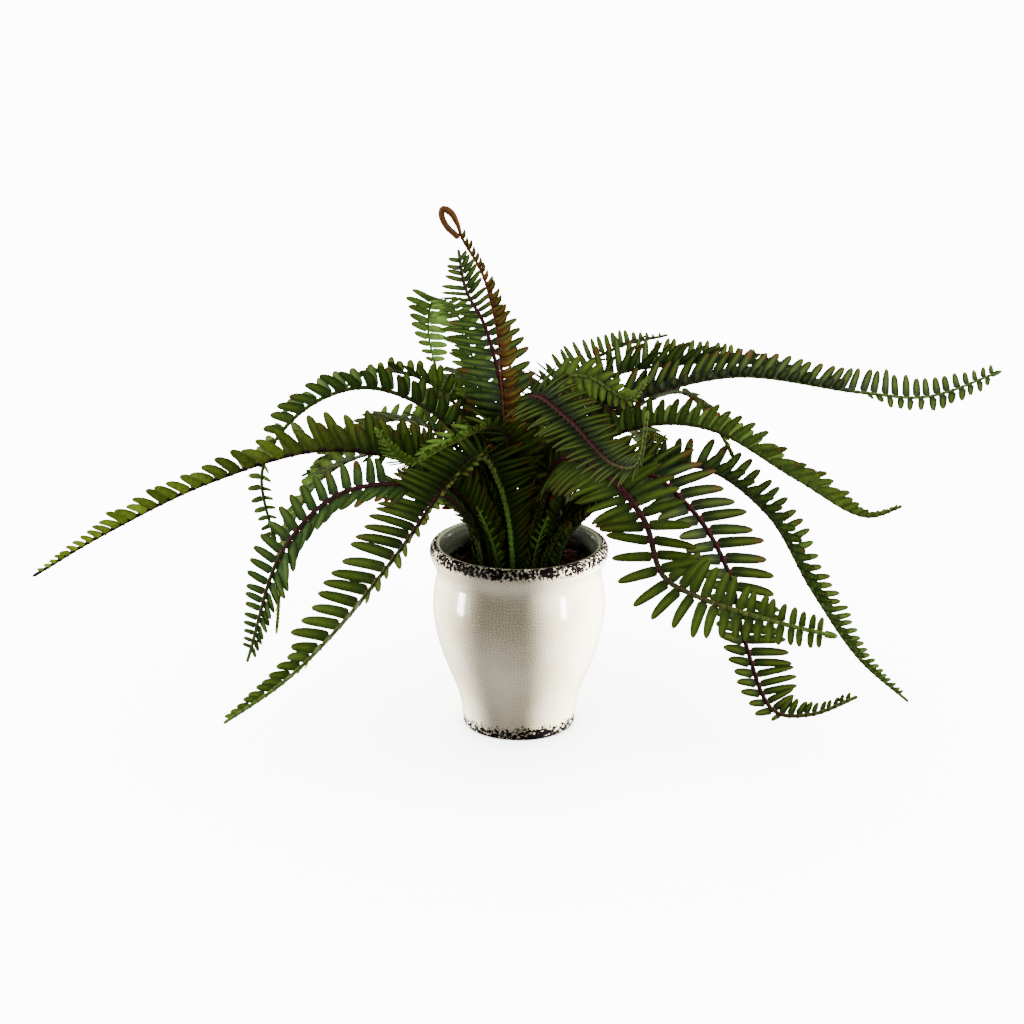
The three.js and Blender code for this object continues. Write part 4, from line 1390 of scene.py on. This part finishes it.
@dataclass
class Frond:
    """One frond: its rib, a tapered stalk with a joint at each pair, and its two rows of leaflets."""

    plan: FrondPlan
    pattern: LeafletPattern
    habit: Habit
    room: Room
    seed: int
    buried_thickness: float = 3.0
    stalk_thickness: float = 3.3
    tip_thickness: float = 2.0
    rib_rings: int = 3
    stalk_step: float = 6.0
    joint_half: float = 1.3
    joint_swell: float = 0.3
    tip_step: float = 1.6
    tip_end: float = 0.45
    soil_taper: float = 12.0
    sunk: float = 0.7
    last_leaf_free: float = 0.6
    shift: float = 0.6
    age_spread: float = 0.12
    light_spread: Pair = (0.8, 1.22)
    random: Random = field(init=False)
    line: RibLine = field(init=False)
    probe: Array = field(init=False)

    def __post_init__(self) -> None:
        """Draws the rib's line and claims its room."""
        self.random = Random(self.seed)
        self.line = RibLine(self.plan)
        steps = np.arange(0, self.line.length, self.room.CELL)
        self.room.fill(np.array([self.line.point(step) for step in steps]), self.plan.name)
        shares = np.linspace(0.1, 1.0, 13)
        widths = np.interp(shares, self.pattern.knots, self.pattern.half_widths)
        lanes = (-1, -0.5, 0, 0.5, 1)
        self.probe = np.array([
            (share, lane * width, 0.0) for share, width in zip(shares, widths) for lane in lanes
        ])

    def distances(self) -> list[Pair]:
        """Finds where the pairs of leaflets stand, as far apart as they are wide.

        Returns:
            The distance along the rib and the share of the leafy length of each pair.
        """
        plan, habit = self.plan, self.habit
        end = self.line.length - (plan.bare_tip or plan.last_leaf[0] * self.last_leaf_free)
        distance, found = plan.bare_stalk, []
        while distance < end:
            share = (distance - plan.bare_stalk) / (end - plan.bare_stalk)
            found.append((distance, share))
            distance += habit.step(plan, (distance, distance / self.line.length), share)
        return found

    def radius(self, share: float) -> float:
        """Returns half the rib's thickness at a share of its length."""
        taper = (self.tip_thickness - self.stalk_thickness) * share
        return (self.stalk_thickness + taper) * self.plan.slender / 2

    def leaflet(self, station: Station, share: float, hand: int, swing: float, shrink: float,
                jitter: tuple[float, ...]) -> LeafletPose:
        """Poses one leaflet.

        Args:
            station: Where its stalk meets the rib.
            share: Its share of the leafy length.
            hand: 1 on the right of the rib and -1 on the left.
            swing: Degrees that it is bent up, clear of a neighbour.
            shrink: How long it is against its full length.
            jitter: Random numbers from -1 to 1.

        Returns:
            The leaflet's pose.
        """
        plan, habit = self.plan, self.habit
        side = station.side * hand
        distance, row = station.share * self.line.length, plan.row(hand)
        chance = 1 + habit.length_spread * jitter[0]
        length = habit.length(plan, (distance, station.share), share, hand) * chance * shrink
        fold = plan.on_course(row.fold if row else plan.fold, station.share)
        fold = math.radians(fold + habit.fold_spread * jitter[1] + swing)
        lean = habit.lean(plan, distance, station.share, hand)
        lean = math.radians(lean + habit.lean_spread * jitter[2])
        out = side * math.cos(fold) + station.up * math.sin(fold)
        reach = out * math.cos(lean) + station.tangent * math.sin(lean)
        face = np.cross(out, station.tangent) * hand
        along = unit(station.tangent - reach * station.tangent.dot(reach))
        return LeafletPose(
            root=station.place + side * self.radius(station.share) * self.sunk,
            reach=reach,
            along=along,
            face=face,
            length=length,
            half_width=habit.half_width(plan, (distance, station.share), length),
            bend=math.radians(max(habit.least_bend, habit.droop + habit.bend_spread * jitter[3])),
            twist=math.radians(habit.twist_spread * jitter[4]),
            cant=math.radians(-habit.cant + habit.cant_spread * jitter[5]),
            sickle=plan.hook + habit.sickle_spread * jitter[3],
        )

    def clear_leaflet(self, station: Station, share: float, hand: int) -> LeafletPose | None:
        """Finds the first way in which a leaflet stands clear of the other fronds.

        Args:
            station: Where its stalk meets the rib.
            share: Its share of the leafy length.
            hand: 1 on the right of the rib and -1 on the left.

        Returns:
            The leaflet's pose, or None where there is no room for it.
        """
        jitter = tuple(self.random.uniform(-1, 1) for _ in range(6))
        row = self.plan.row(hand)
        if row and self.plan.on_course(row.length, station.share) < self.habit.bare_below:
            return None
        for swing, shrink in self.habit.ways_clear:
            pose = self.leaflet(station, share, hand, swing, shrink, jitter)
            points = pose.bent(self.probe)
            low = points[:, 2].min() < SOIL_TOP + SOIL_CROWN + 0.5
            if low and np.hypot(*points[0, :2]) < SOIL_RADIUS:
                continue
            if self.room.clashes(points, self.plan.name) == 0:
                self.room.fill(points, self.plan.name)
                return pose
        return None

    def leaflets(self) -> list[tuple[LeafletPose, float]]:
        """Poses every leaflet of the frond.

        Returns:
            The poses, each with its share of the leafy length.
        """
        found = []
        for distance, share in self.distances():
            step = self.habit.step(self.plan, (distance, distance / self.line.length), share)
            for hand in (1, -1):
                offset = self.random.uniform(-self.shift, self.shift)
                if hand < 0:
                    offset += self.plan.stagger * step
                pose = self.clear_leaflet(self.line.station(distance + offset), share, hand)
                if pose is not None:
                    found.append((pose, share))
        if not self.plan.bare_tip:
            found.append((self.terminal_leaflet(), 1.0))
        return found

    def terminal_leaflet(self) -> LeafletPose:
        """Returns the pose of the last leaflet, which carries on the line of the rib."""
        length, half_width = self.plan.last_leaf
        end = self.line.station(self.line.length - length)
        return LeafletPose(end.place, end.tangent, -end.side, end.up, length, half_width,
                           bend=0.02, twist=0.0, cant=0.0, sickle=0.0)

    def leaflets_mesh(self) -> bpy.types.Object:
        """Copies the pattern to every pose.

        Returns:
            The leaflets as one object.
        """
        poses = self.leaflets()
        pattern, tone = self.pattern, self.plan.tone.value
        count = len(pattern.places)
        places, faces, tints, leaflet, habit = [], [], [], [], []
        widths = np.interp(pattern.places[:, 0], pattern.knots, pattern.half_widths)
        shares = np.column_stack([pattern.places[:, 0], pattern.places[:, 1] / widths])
        for index, (pose, share) in enumerate(poses):
            places.append(pose.bent(pattern.places) * MM)
            faces += [tuple(corner + index * count for corner in face) for face in pattern.faces]
            young = share + self.random.uniform(-self.age_spread, self.age_spread)
            young = min(1.0, max(0.0, young)) ** self.plan.ripening
            light = self.random.uniform(*self.light_spread)
            # The plan's light factor is painted light and shade: it brightens or darkens the frond's
            # leaflets.
            tint = np.array(blend(tone.leaf, tone.leaf_tip, young)) * light * self.plan.light
            tints.append(np.tile([*tint, 1.0], (count, 1)))
            leaflet.append(np.column_stack([shares, np.full(count, self.random.random())]))
            red = tone.red_tips * (1.15 - share) * self.random.choice((0.0, 0.5, 1.0, 1.0))
            habit.append(np.tile([red, tone.red_stalks * (1 - 0.5 * share), 0.0], (count, 1)))
        mesh = bpy.data.meshes.new(self.plan.name + "_leaflets")
        mesh.from_pydata(np.concatenate(places).tolist(), [], faces)
        store(mesh, "tint", "FLOAT_COLOR", np.concatenate(tints))
        store(mesh, "leaflet", "FLOAT_VECTOR", np.concatenate(leaflet))
        store(mesh, "habit", "FLOAT_VECTOR", np.concatenate(habit))
        return add_object(mesh.name, mesh)

    def rib_mesh(self) -> bpy.types.Object:
        """Draws the rib as a round path that tapers and swells a little at each joint.

        Returns:
            The rib as one object.
        """
        plan = self.plan
        joints = np.array([distance for distance, _ in self.distances()])
        marks = sorted({*np.arange(0.0, plan.bare_stalk, self.stalk_step), self.line.length, *joints,
                        *(joints - self.joint_half), *(joints + self.joint_half),
                        *(joints[:-1] + joints[1:]) / 2,
                        *np.arange(joints[-1] + 2, self.line.length - 0.6, self.tip_step)})
        foot = np.array([*plan.place(plan.root, 0)[:2], SOIL_TOP - HOLE_DEPTH + GAP])
        buried = self.buried_thickness * min(1.0, plan.slender) / 2
        points, radii, swells = [foot], [buried], [0.0]
        for mark in marks:
            swell = 1.0 if np.abs(joints - mark).min() < 0.1 else 0.0
            full = self.radius(mark / self.line.length) * (1 + self.joint_swell * swell)
            full *= self.curl_band(mark)
            points.append(self.line.point(mark))
            radii.append(buried + (full - buried) * min(1.0, mark / self.soil_taper))
            swells.append(swell)
        radii[-1] *= self.tip_end
        deselect_all()
        bpy.ops.curve.primitive_bezier_curve_add(location=(0, 0, 0))
        piece = bpy.context.object
        piece.name = plan.name + "_rib"
        curve = piece.data
        curve.splines.remove(curve.splines[0])
        spline = curve.splines.new("POLY")
        spline.points.add(len(points) - 1)
        for point, place, radius in zip(spline.points, points, radii):
            point.co = (*(place * MM), 1.0)
            point.radius = radius
        curve.dimensions = "3D"
        curve.bevel_depth = MM
        curve.bevel_resolution = self.rib_rings - 1
        curve.use_fill_caps = True
        bpy.ops.object.convert(target="MESH")
        piece = bpy.context.object
        self.tint_rib(piece, np.array(points) * MM, np.array(swells))
        return piece

    def curl_band(self, mark: float) -> float:
        """Returns how much thicker the rib is where its furled leaflets wrap the curled tip."""
        if not self.plan.curl:
            return 1.0
        into = (mark - (self.line.length - self.plan.bare_tip)) / self.plan.bare_tip
        return 1.0 + self.plan.curl * min(1.0, max(0.0, into * 3))

    def tint_rib(self, piece: bpy.types.Object, points: Array, swells: Array) -> None:
        """Stores the rib's colours on its mesh.

        Args:
            piece: The rib.
            points: The places of its rings, in metres.
            swells: How much of a joint each ring is.
        """
        tone = self.plan.tone.value
        nearest = np.argmin(
            np.linalg.norm(coordinates(piece.data)[:, None, :] - points[None, :, :], axis=2), axis=1
        )
        shares = np.linspace(0, 1, len(points))[nearest]
        young = np.clip((shares - self.plan.ripe_rib) / 0.3, 0, 1)[:, None]
        old = np.clip(1.3 - shares / self.plan.green_stalk, 0, 1)[:, None]
        tints = np.array(tone.rib) * (1 - young) + np.array(tone.rib_tip) * young
        tints = tints * (1 - old) + np.array(tone.rib_base) * old
        count = len(nearest)
        store(piece.data, "tint", "FLOAT_COLOR", np.column_stack([tints, np.ones(count)]))
        reddened = swells[nearest] * (1 - old[:, 0])
        joint = np.column_stack([reddened, np.full(count, tone.red_stalks * 0.8), np.zeros(count)])
        store(piece.data, "leaflet", "FLOAT_VECTOR", joint)
        store(piece.data, "habit", "FLOAT_VECTOR", np.zeros((count, 3)))

    def build(self, leaf: bpy.types.Material, rib: bpy.types.Material) -> bpy.types.Object:
        """Builds the frond and dresses it.

        Args:
            leaf: The leaflets' material.
            rib: The rib's material.

        Returns:
            The frond as one object.
        """
        stalk = self.rib_mesh()
        blades = self.leaflets_mesh()
        stalk.data.materials.clear()
        stalk.data.materials.append(rib)
        blades.data.materials.append(leaf)
        take(stalk)
        blades.select_set(True)
        bpy.ops.object.join()
        stalk.name = "fern_" + self.plan.name
        stalk.data.name = stalk.name
        bpy.ops.object.shade_smooth_by_angle(angle=math.radians(60))
        return stalk


# ---------------------------------------------------------------- pot and mix


@dataclass
class Pot:
    """The turned and glazed flowerpot, in millimetres."""

    sides: int = 96
    foot_radius: float = 39.5
    foot_edge: float = 2.0
    wall: float = 5.0
    floor: float = 9.0
    side: tuple[Pair, ...] = (
        (39.5, 7), (42.7, 24), (49.6, 42), (57, 64), (60.5, 87), (59.6, 101), (57.2, 113),
    )
    lip: tuple[Pair, ...] = ((58.4, 118.4), (61.2, 122.6), (62.5, 126.2), (62.7, 129.5), (61.9, 132.0),
                             (60.4, 133.7), (58, 134.5), (56.2, 134.1), (54.9, 132.3), (53.9, 128))

    def outside(self) -> list[Pair]:
        """Returns the rings of the outside wall."""
        line = smooth_line([np.array(point, float) for point in self.side], steps=3)
        return [(float(radius), float(height)) for radius, height in line]

    def rings(self) -> list[Pair]:
        """Returns every ring, from the underside over the lip to the floor inside."""
        outside = self.outside()
        inside = [(radius - self.wall, height) for radius, height in reversed(outside[2::2])]
        return [
            (self.foot_radius - 3 * self.foot_edge, 0), (self.foot_radius - self.foot_edge, 0),
            (self.foot_radius - 0.5, self.foot_edge * 0.4), (self.foot_radius, self.foot_edge * 1.3),
            *outside, *self.lip, *inside,
            (self.foot_radius - 2 * self.wall, self.floor), (8, self.floor),
        ]

    def build(self) -> bpy.types.Object:
        """Turns the pot and glazes it.

        Returns:
            The pot.
        """
        piece = turn_shape("flowerpot", self.rings(), self.sides)
        apply_modifier(piece, "SUBSURF", levels=1, render_levels=1)
        piece.data.materials.append(CrackleGlaze().material())
        piece.data.materials.append(InsideGlaze().material())
        for face in piece.data.polygons:
            middle = face.center / MM
            radius = math.hypot(middle.x, middle.y)
            if middle.z > self.floor - 1 and (face.normal.x * middle.x + face.normal.y * middle.y < 0
                                              or radius < self.foot_radius - 2 * self.wall):
                face.material_index = 1
        take(piece)
        bpy.ops.object.shade_smooth_by_angle(angle=math.radians(50))
        return piece


@dataclass
class PottingMix:
    """Peat and bark that fill the pot, in millimetres."""

    pot: Pot
    sides: int = 72
    top_rings: int = 16
    lump: float = 3.2
    chips: int = 230
    heaped: int = 420
    heap: float = 12.0
    heap_from: float = 37.0
    rise: Pair = (-1.4, 0.9)
    growth: Pair = (0.7, 1.15)
    tilt: Pair = (0.35, 0.3)
    off_wall: float = 5.0
    chip_sizes: tuple[tuple[float, float, float], ...] = (
        (9, 5, 2.6), (12, 4, 2.2), (6.5, 5.5, 3), (5, 3, 2),
    )
    seed: int = 11

    def build(self) -> list[bpy.types.Object]:
        """Fills the pot and strews the bark.

        Returns:
            The peat and the bark.
        """
        outside = [ring for ring in self.pot.outside() if ring[1] < SOIL_TOP - 2]
        wall = [(radius - self.pot.wall - GAP, height) for radius, height in outside[3::2]]
        rings = [(28.0, self.pot.floor + GAP), *wall, (SOIL_RADIUS, SOIL_TOP)]
        for index in range(1, self.top_rings):
            radius = SOIL_RADIUS * (1 - index / self.top_rings)
            rings.append((radius, soil_height(radius)))
        peat = turn_shape("peat", rings, self.sides)
        self.raise_lumps(peat)
        finish = EarthFinish("peat", srgb(16, 11, 9), srgb(58, 38, 26), 420)
        peat.data.materials.append(finish.material())
        take(peat)
        bpy.ops.object.shade_smooth()
        return [peat, self.strew_bark()]

    def raise_lumps(self, peat: bpy.types.Object) -> None:
        """Makes the top of the peat uneven.

        Args:
            peat: The plug of peat.
        """
        places = coordinates(peat.data)
        for row in places:
            if row[2] > (SOIL_TOP + 0.05) * MM:
                lump = noise.noise(Vector(row) * 170) + 0.6 * noise.noise(Vector(row) * 420)
                row[2] += (0.5 * lump - 0.35) * self.lump * MM
        set_coordinates(peat.data, places)

    def chip_pattern(self, size: tuple[float, float, float], random: Random) -> bpy.types.Object:
        """Models one flake of bark.

        Args:
            size: Its length, width and thickness in millimetres.
            random: Where its irregular corners come from.

        Returns:
            The flake, at the origin.
        """
        deselect_all()
        bpy.ops.mesh.primitive_cube_add(size=1, location=(0, 0, 0))
        piece = bpy.context.object
        edit_all()
        bpy.ops.transform.resize(value=tuple(side * MM for side in size))
        bpy.ops.mesh.subdivide(number_cuts=1)
        bpy.ops.object.mode_set(mode="OBJECT")
        places = coordinates(piece.data)
        shrink = 1 - 0.32 * (np.abs(places) / (np.array(size) * MM / 2)).sum(axis=1, keepdims=True) / 3
        jag = np.array([[random.uniform(-0.11, 0.11) for _ in range(3)] for _ in places])
        set_coordinates(piece.data, places * shrink + jag * np.array(size) * MM)
        return piece

    def strew_bark(self) -> bpy.types.Object:
        """Copies the flakes all over the peat.

        Returns:
            The bark as one object.
        """
        random = Random(self.seed)
        patterns = [self.chip_pattern(size, random) for size in self.chip_sizes]
        edge = SOIL_RADIUS - self.off_wall
        places, faces, tones = [], [], []
        for index in range(self.chips + self.heaped):
            mesh = random.choice(patterns).data
            radius = edge * math.sqrt(random.random())
            rise = random.uniform(*self.rise)
            if index >= self.chips:
                radius = random.uniform(self.heap_from, edge)
                rise = random.random() ** 0.6 * self.heap * min(1.0, (radius - 34) / 9)
            angle = random.uniform(0, math.tau)
            turn = Matrix.Rotation(random.uniform(0, math.tau), 3, "Z")
            tilt = Matrix.Rotation(random.gauss(0, self.tilt[0]), 3, "X")
            tilt = tilt @ Matrix.Rotation(random.gauss(0, self.tilt[1]), 3, "Y")
            centre = np.array([radius * math.cos(angle), radius * math.sin(angle),
                               soil_height(radius) + rise]) * MM
            first = sum(len(block) for block in places)
            placed = coordinates(mesh) * random.uniform(*self.growth) @ np.array(turn @ tilt).T + centre
            places.append(placed)
            faces += [tuple(corner + first for corner in face.vertices) for face in mesh.polygons]
            tones.append(np.full(len(placed), random.random()))
        for pattern in patterns:
            bpy.data.objects.remove(pattern)
        mesh = bpy.data.meshes.new("bark")
        mesh.from_pydata(np.concatenate(places).tolist(), [], faces)
        store(mesh, "tone", "FLOAT", np.concatenate(tones))
        finish = EarthFinish("bark", srgb(40, 22, 16), srgb(116, 62, 38), 300)
        mesh.materials.append(finish.material())
        return add_object("bark", mesh)


# ---------------------------------------------------------------- studio


class Lit(Enum):
    """What a lamp shines on, as a studio flags a light off the rest."""

    PLANT = "plant"
    POT = "pot"


class Shine(Enum):
    """What a lamp gives: soft light, its mirror image in a glaze, or both."""

    BOTH = "both"
    SOFT = "soft"
    MIRRORED = "mirrored"


@dataclass(frozen=True)
class Lamp:
    """A soft box in metres and watts, at a heading from the camera's side and away from the pot."""

    name: str
    lit: Lit
    heading: float
    distance: float
    height: float
    size: Pair
    power: float
    aim: tuple[float, float, float] = (0.0, 0.0, 0.15)
    shine: Shine = Shine.BOTH

    def place(self) -> Vector:
        """Returns where the lamp hangs."""
        angle = math.radians(self.heading)
        return Vector((self.distance * math.sin(angle), -self.distance * math.cos(angle), self.height))


@dataclass
class Studio:
    """A pale floor, soft lights and the camera at the photograph's viewing angle."""

    floor_size: float = 16.0
    camera_place: tuple[float, float, float] = (-0.0049, -1.950, 0.812)
    camera_pitch: float = 71.41
    lens: float = 104.0
    sky: float = 0.2
    front_glow: float = 0.12
    back_glow: float = 1.0
    floor_light: float = 42.0
    lamps: tuple[Lamp, ...] = (
        Lamp("left", Lit.PLANT, -90, 1.7, 0.75, (0.7, 1.5), 60),
        Lamp("right", Lit.PLANT, 75, 1.7, 0.75, (0.7, 1.5), 55),
        Lamp("overhead", Lit.PLANT, 180, 0.1, 2.3, (1.8, 1.2), 10),
        Lamp("front", Lit.PLANT, 0, 1.9, 0.62, (1.2, 0.8), 7),
        Lamp("pot_front", Lit.POT, 0, 1.9, 0.3, (1.0, 0.8), 2, shine=Shine.SOFT),
        Lamp("pot_left", Lit.POT, -120, 1.7, 0.2, (0.5, 0.5), 335, shine=Shine.SOFT),
        Lamp("pot_right", Lit.POT, 98, 1.7, 0.2, (0.5, 0.5), 560, shine=Shine.SOFT),
        Lamp("pot_left_window", Lit.POT, -82, 1.7, 0.2, (0.3, 0.95), 80, shine=Shine.MIRRORED),
        Lamp("pot_right_window", Lit.POT, 60, 1.7, 0.2, (0.24, 0.9), 80, shine=Shine.MIRRORED),
        Lamp("pot_floor_bounce", Lit.POT, 0, 0.12, 0.002, (0.34, 0.12), 0.1, (0.0, -0.12, 1.0)),
    )

    def build(self, lit: dict[Lit, list[bpy.types.Object]]) -> None:
        """Lays the floor and sets up the lights and the camera.

        Args:
            lit: The objects that each kind of lamp shines on.
        """
        floor = self.lay_floor()
        self.light_room()
        for lamp in self.lamps:
            light = self.hang(lamp)
            self.shine_only_on(light, lit[lamp.lit])
            if lamp.lit is Lit.POT:
                light.light_linking.blocker_collection = light.light_linking.receiver_collection
        self.light_floor(floor)
        camera = add_object("camera", bpy.data.cameras.new("camera"))
        camera.data.lens = self.lens
        camera.data.sensor_width = 36.0
        camera.location = self.camera_place
        camera.rotation_euler = (math.radians(self.camera_pitch), 0, 0)
        bpy.context.scene.camera = camera

    def light_room(self) -> None:
        """Fills the room with dim light and with what a white sweep round the plant throws back."""
        world = bpy.context.scene.world or bpy.data.worlds.new("studio")
        bpy.context.scene.world = world
        world.use_nodes = True
        nodes, links = world.node_tree.nodes, world.node_tree.links
        parts = nodes.new("ShaderNodeSeparateXYZ")
        links.new(nodes.new("ShaderNodeTexCoord").outputs["Generated"], parts.inputs[0])

        def ramp(source: Socket, ends: Pair, values: Pair) -> Socket:
            """Returns a value that goes smoothly from the first to the second across the ends."""
            node = nodes.new("ShaderNodeMapRange")
            node.interpolation_type = "SMOOTHSTEP"
            for name, value in zip(("From Min", "From Max", "To Min", "To Max"), (*ends, *values)):
                node.inputs[name].default_value = value
            links.new(source, node.inputs["Value"])
            return node.outputs["Result"]

        behind = ramp(parts.outputs[1], (-0.3, 0.4), (self.front_glow, self.back_glow))
        below = ramp(parts.outputs[2], (-0.06, 0.14), (1.0, 0.0))
        glow = nodes.new("ShaderNodeMath")
        glow.operation = "MULTIPLY_ADD"
        links.new(behind, glow.inputs[0])
        links.new(below, glow.inputs[1])
        glow.inputs[2].default_value = self.sky
        background = nodes["Background"]
        background.inputs["Color"].default_value = (1, 1, 1, 1)
        links.new(glow.outputs[0], background.inputs["Strength"])

    def lay_floor(self) -> bpy.types.Object:
        """Lays the pale floor that the pot stands on.

        Returns:
            The floor.
        """
        deselect_all()
        bpy.ops.mesh.primitive_plane_add(size=self.floor_size, location=(0, 0, 0))
        floor = bpy.context.object
        floor.name = "floor"
        shading = Shading("floor")
        grain = shading.noise(shading.place(), 40)
        tint = shading.mix(grain, srgb(250, 250, 250), srgb(253, 253, 253))
        floor.data.materials.append(shading.finish(tint, 0.6))
        floor.visible_diffuse = False
        floor.visible_glossy = False
        return floor

    def light_floor(self, floor: bpy.types.Object) -> None:
        """Adds a very soft light for the floor alone, which keeps it as pale as a white studio sweep.

        Args:
            floor: The floor.
        """
        data = bpy.data.lights.new("floor_light", "SUN")
        data.angle = math.pi
        data.energy = self.floor_light
        self.shine_only_on(add_object("floor_light", data), [floor])

    @staticmethod
    def shine_only_on(light: bpy.types.Object, targets: Sequence[bpy.types.Object]) -> None:
        """Lets a light reach some objects alone."""
        receivers = bpy.data.collections.new(light.name + "_targets")
        for target in targets:
            receivers.objects.link(target)
        light.light_linking.receiver_collection = receivers

    def hang(self, lamp: Lamp) -> bpy.types.Object:
        """Hangs one light, turned to the plant.

        Args:
            lamp: The light.

        Returns:
            The light's object.
        """
        data = bpy.data.lights.new(lamp.name, "AREA")
        data.shape = "RECTANGLE"
        data.size, data.size_y = lamp.size
        data.energy = lamp.power
        light = add_object(lamp.name, data)
        light.location = lamp.place()
        light.rotation_euler = (Vector(lamp.aim) - lamp.place()).to_track_quat("-Z", "Y").to_euler()
        light.visible_camera = False
        light.visible_glossy = lamp.shine is not Shine.SOFT
        light.visible_diffuse = lamp.shine is not Shine.MIRRORED
        return light


def main() -> None:
    """Builds the pot, the mix and every frond, then the studio."""
    logging.basicConfig(level=logging.INFO, format="%(name)s: %(message)s")
    pot = Pot()
    flowerpot = pot.build()
    hand_over(flowerpot, "pot_glaze", "pot")
    peat, bark = PottingMix(pot).build()
    hand_over(peat, "potting_mix", "potting_mix")
    hand_over(bark, "potting_mix")
    plant = [peat, bark]
    leaf, rib = LeafFinish().material(), RibFinish().material()
    pattern, habit, room = LeafletPattern(), Habit(), Room()
    room.fill_pot(pot)
    room.fill(coordinates(bark.data) / MM, "bark")
    plans = (YOUNG_FROND, *FRONDS)
    fronds = [Frond(plan, pattern, habit, room, seed) for seed, plan in enumerate(plans)]
    for frond in fronds:
        name = frond.plan.name
        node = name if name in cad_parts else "frond_" + name
        piece = frond.build(leaf, rib)
        hand_over(piece, frond.plan.slot, node)
        plant.append(piece)
    Studio().build({Lit.PLANT: plant, Lit.POT: [flowerpot]})


if __name__ == "__main__":
    main()
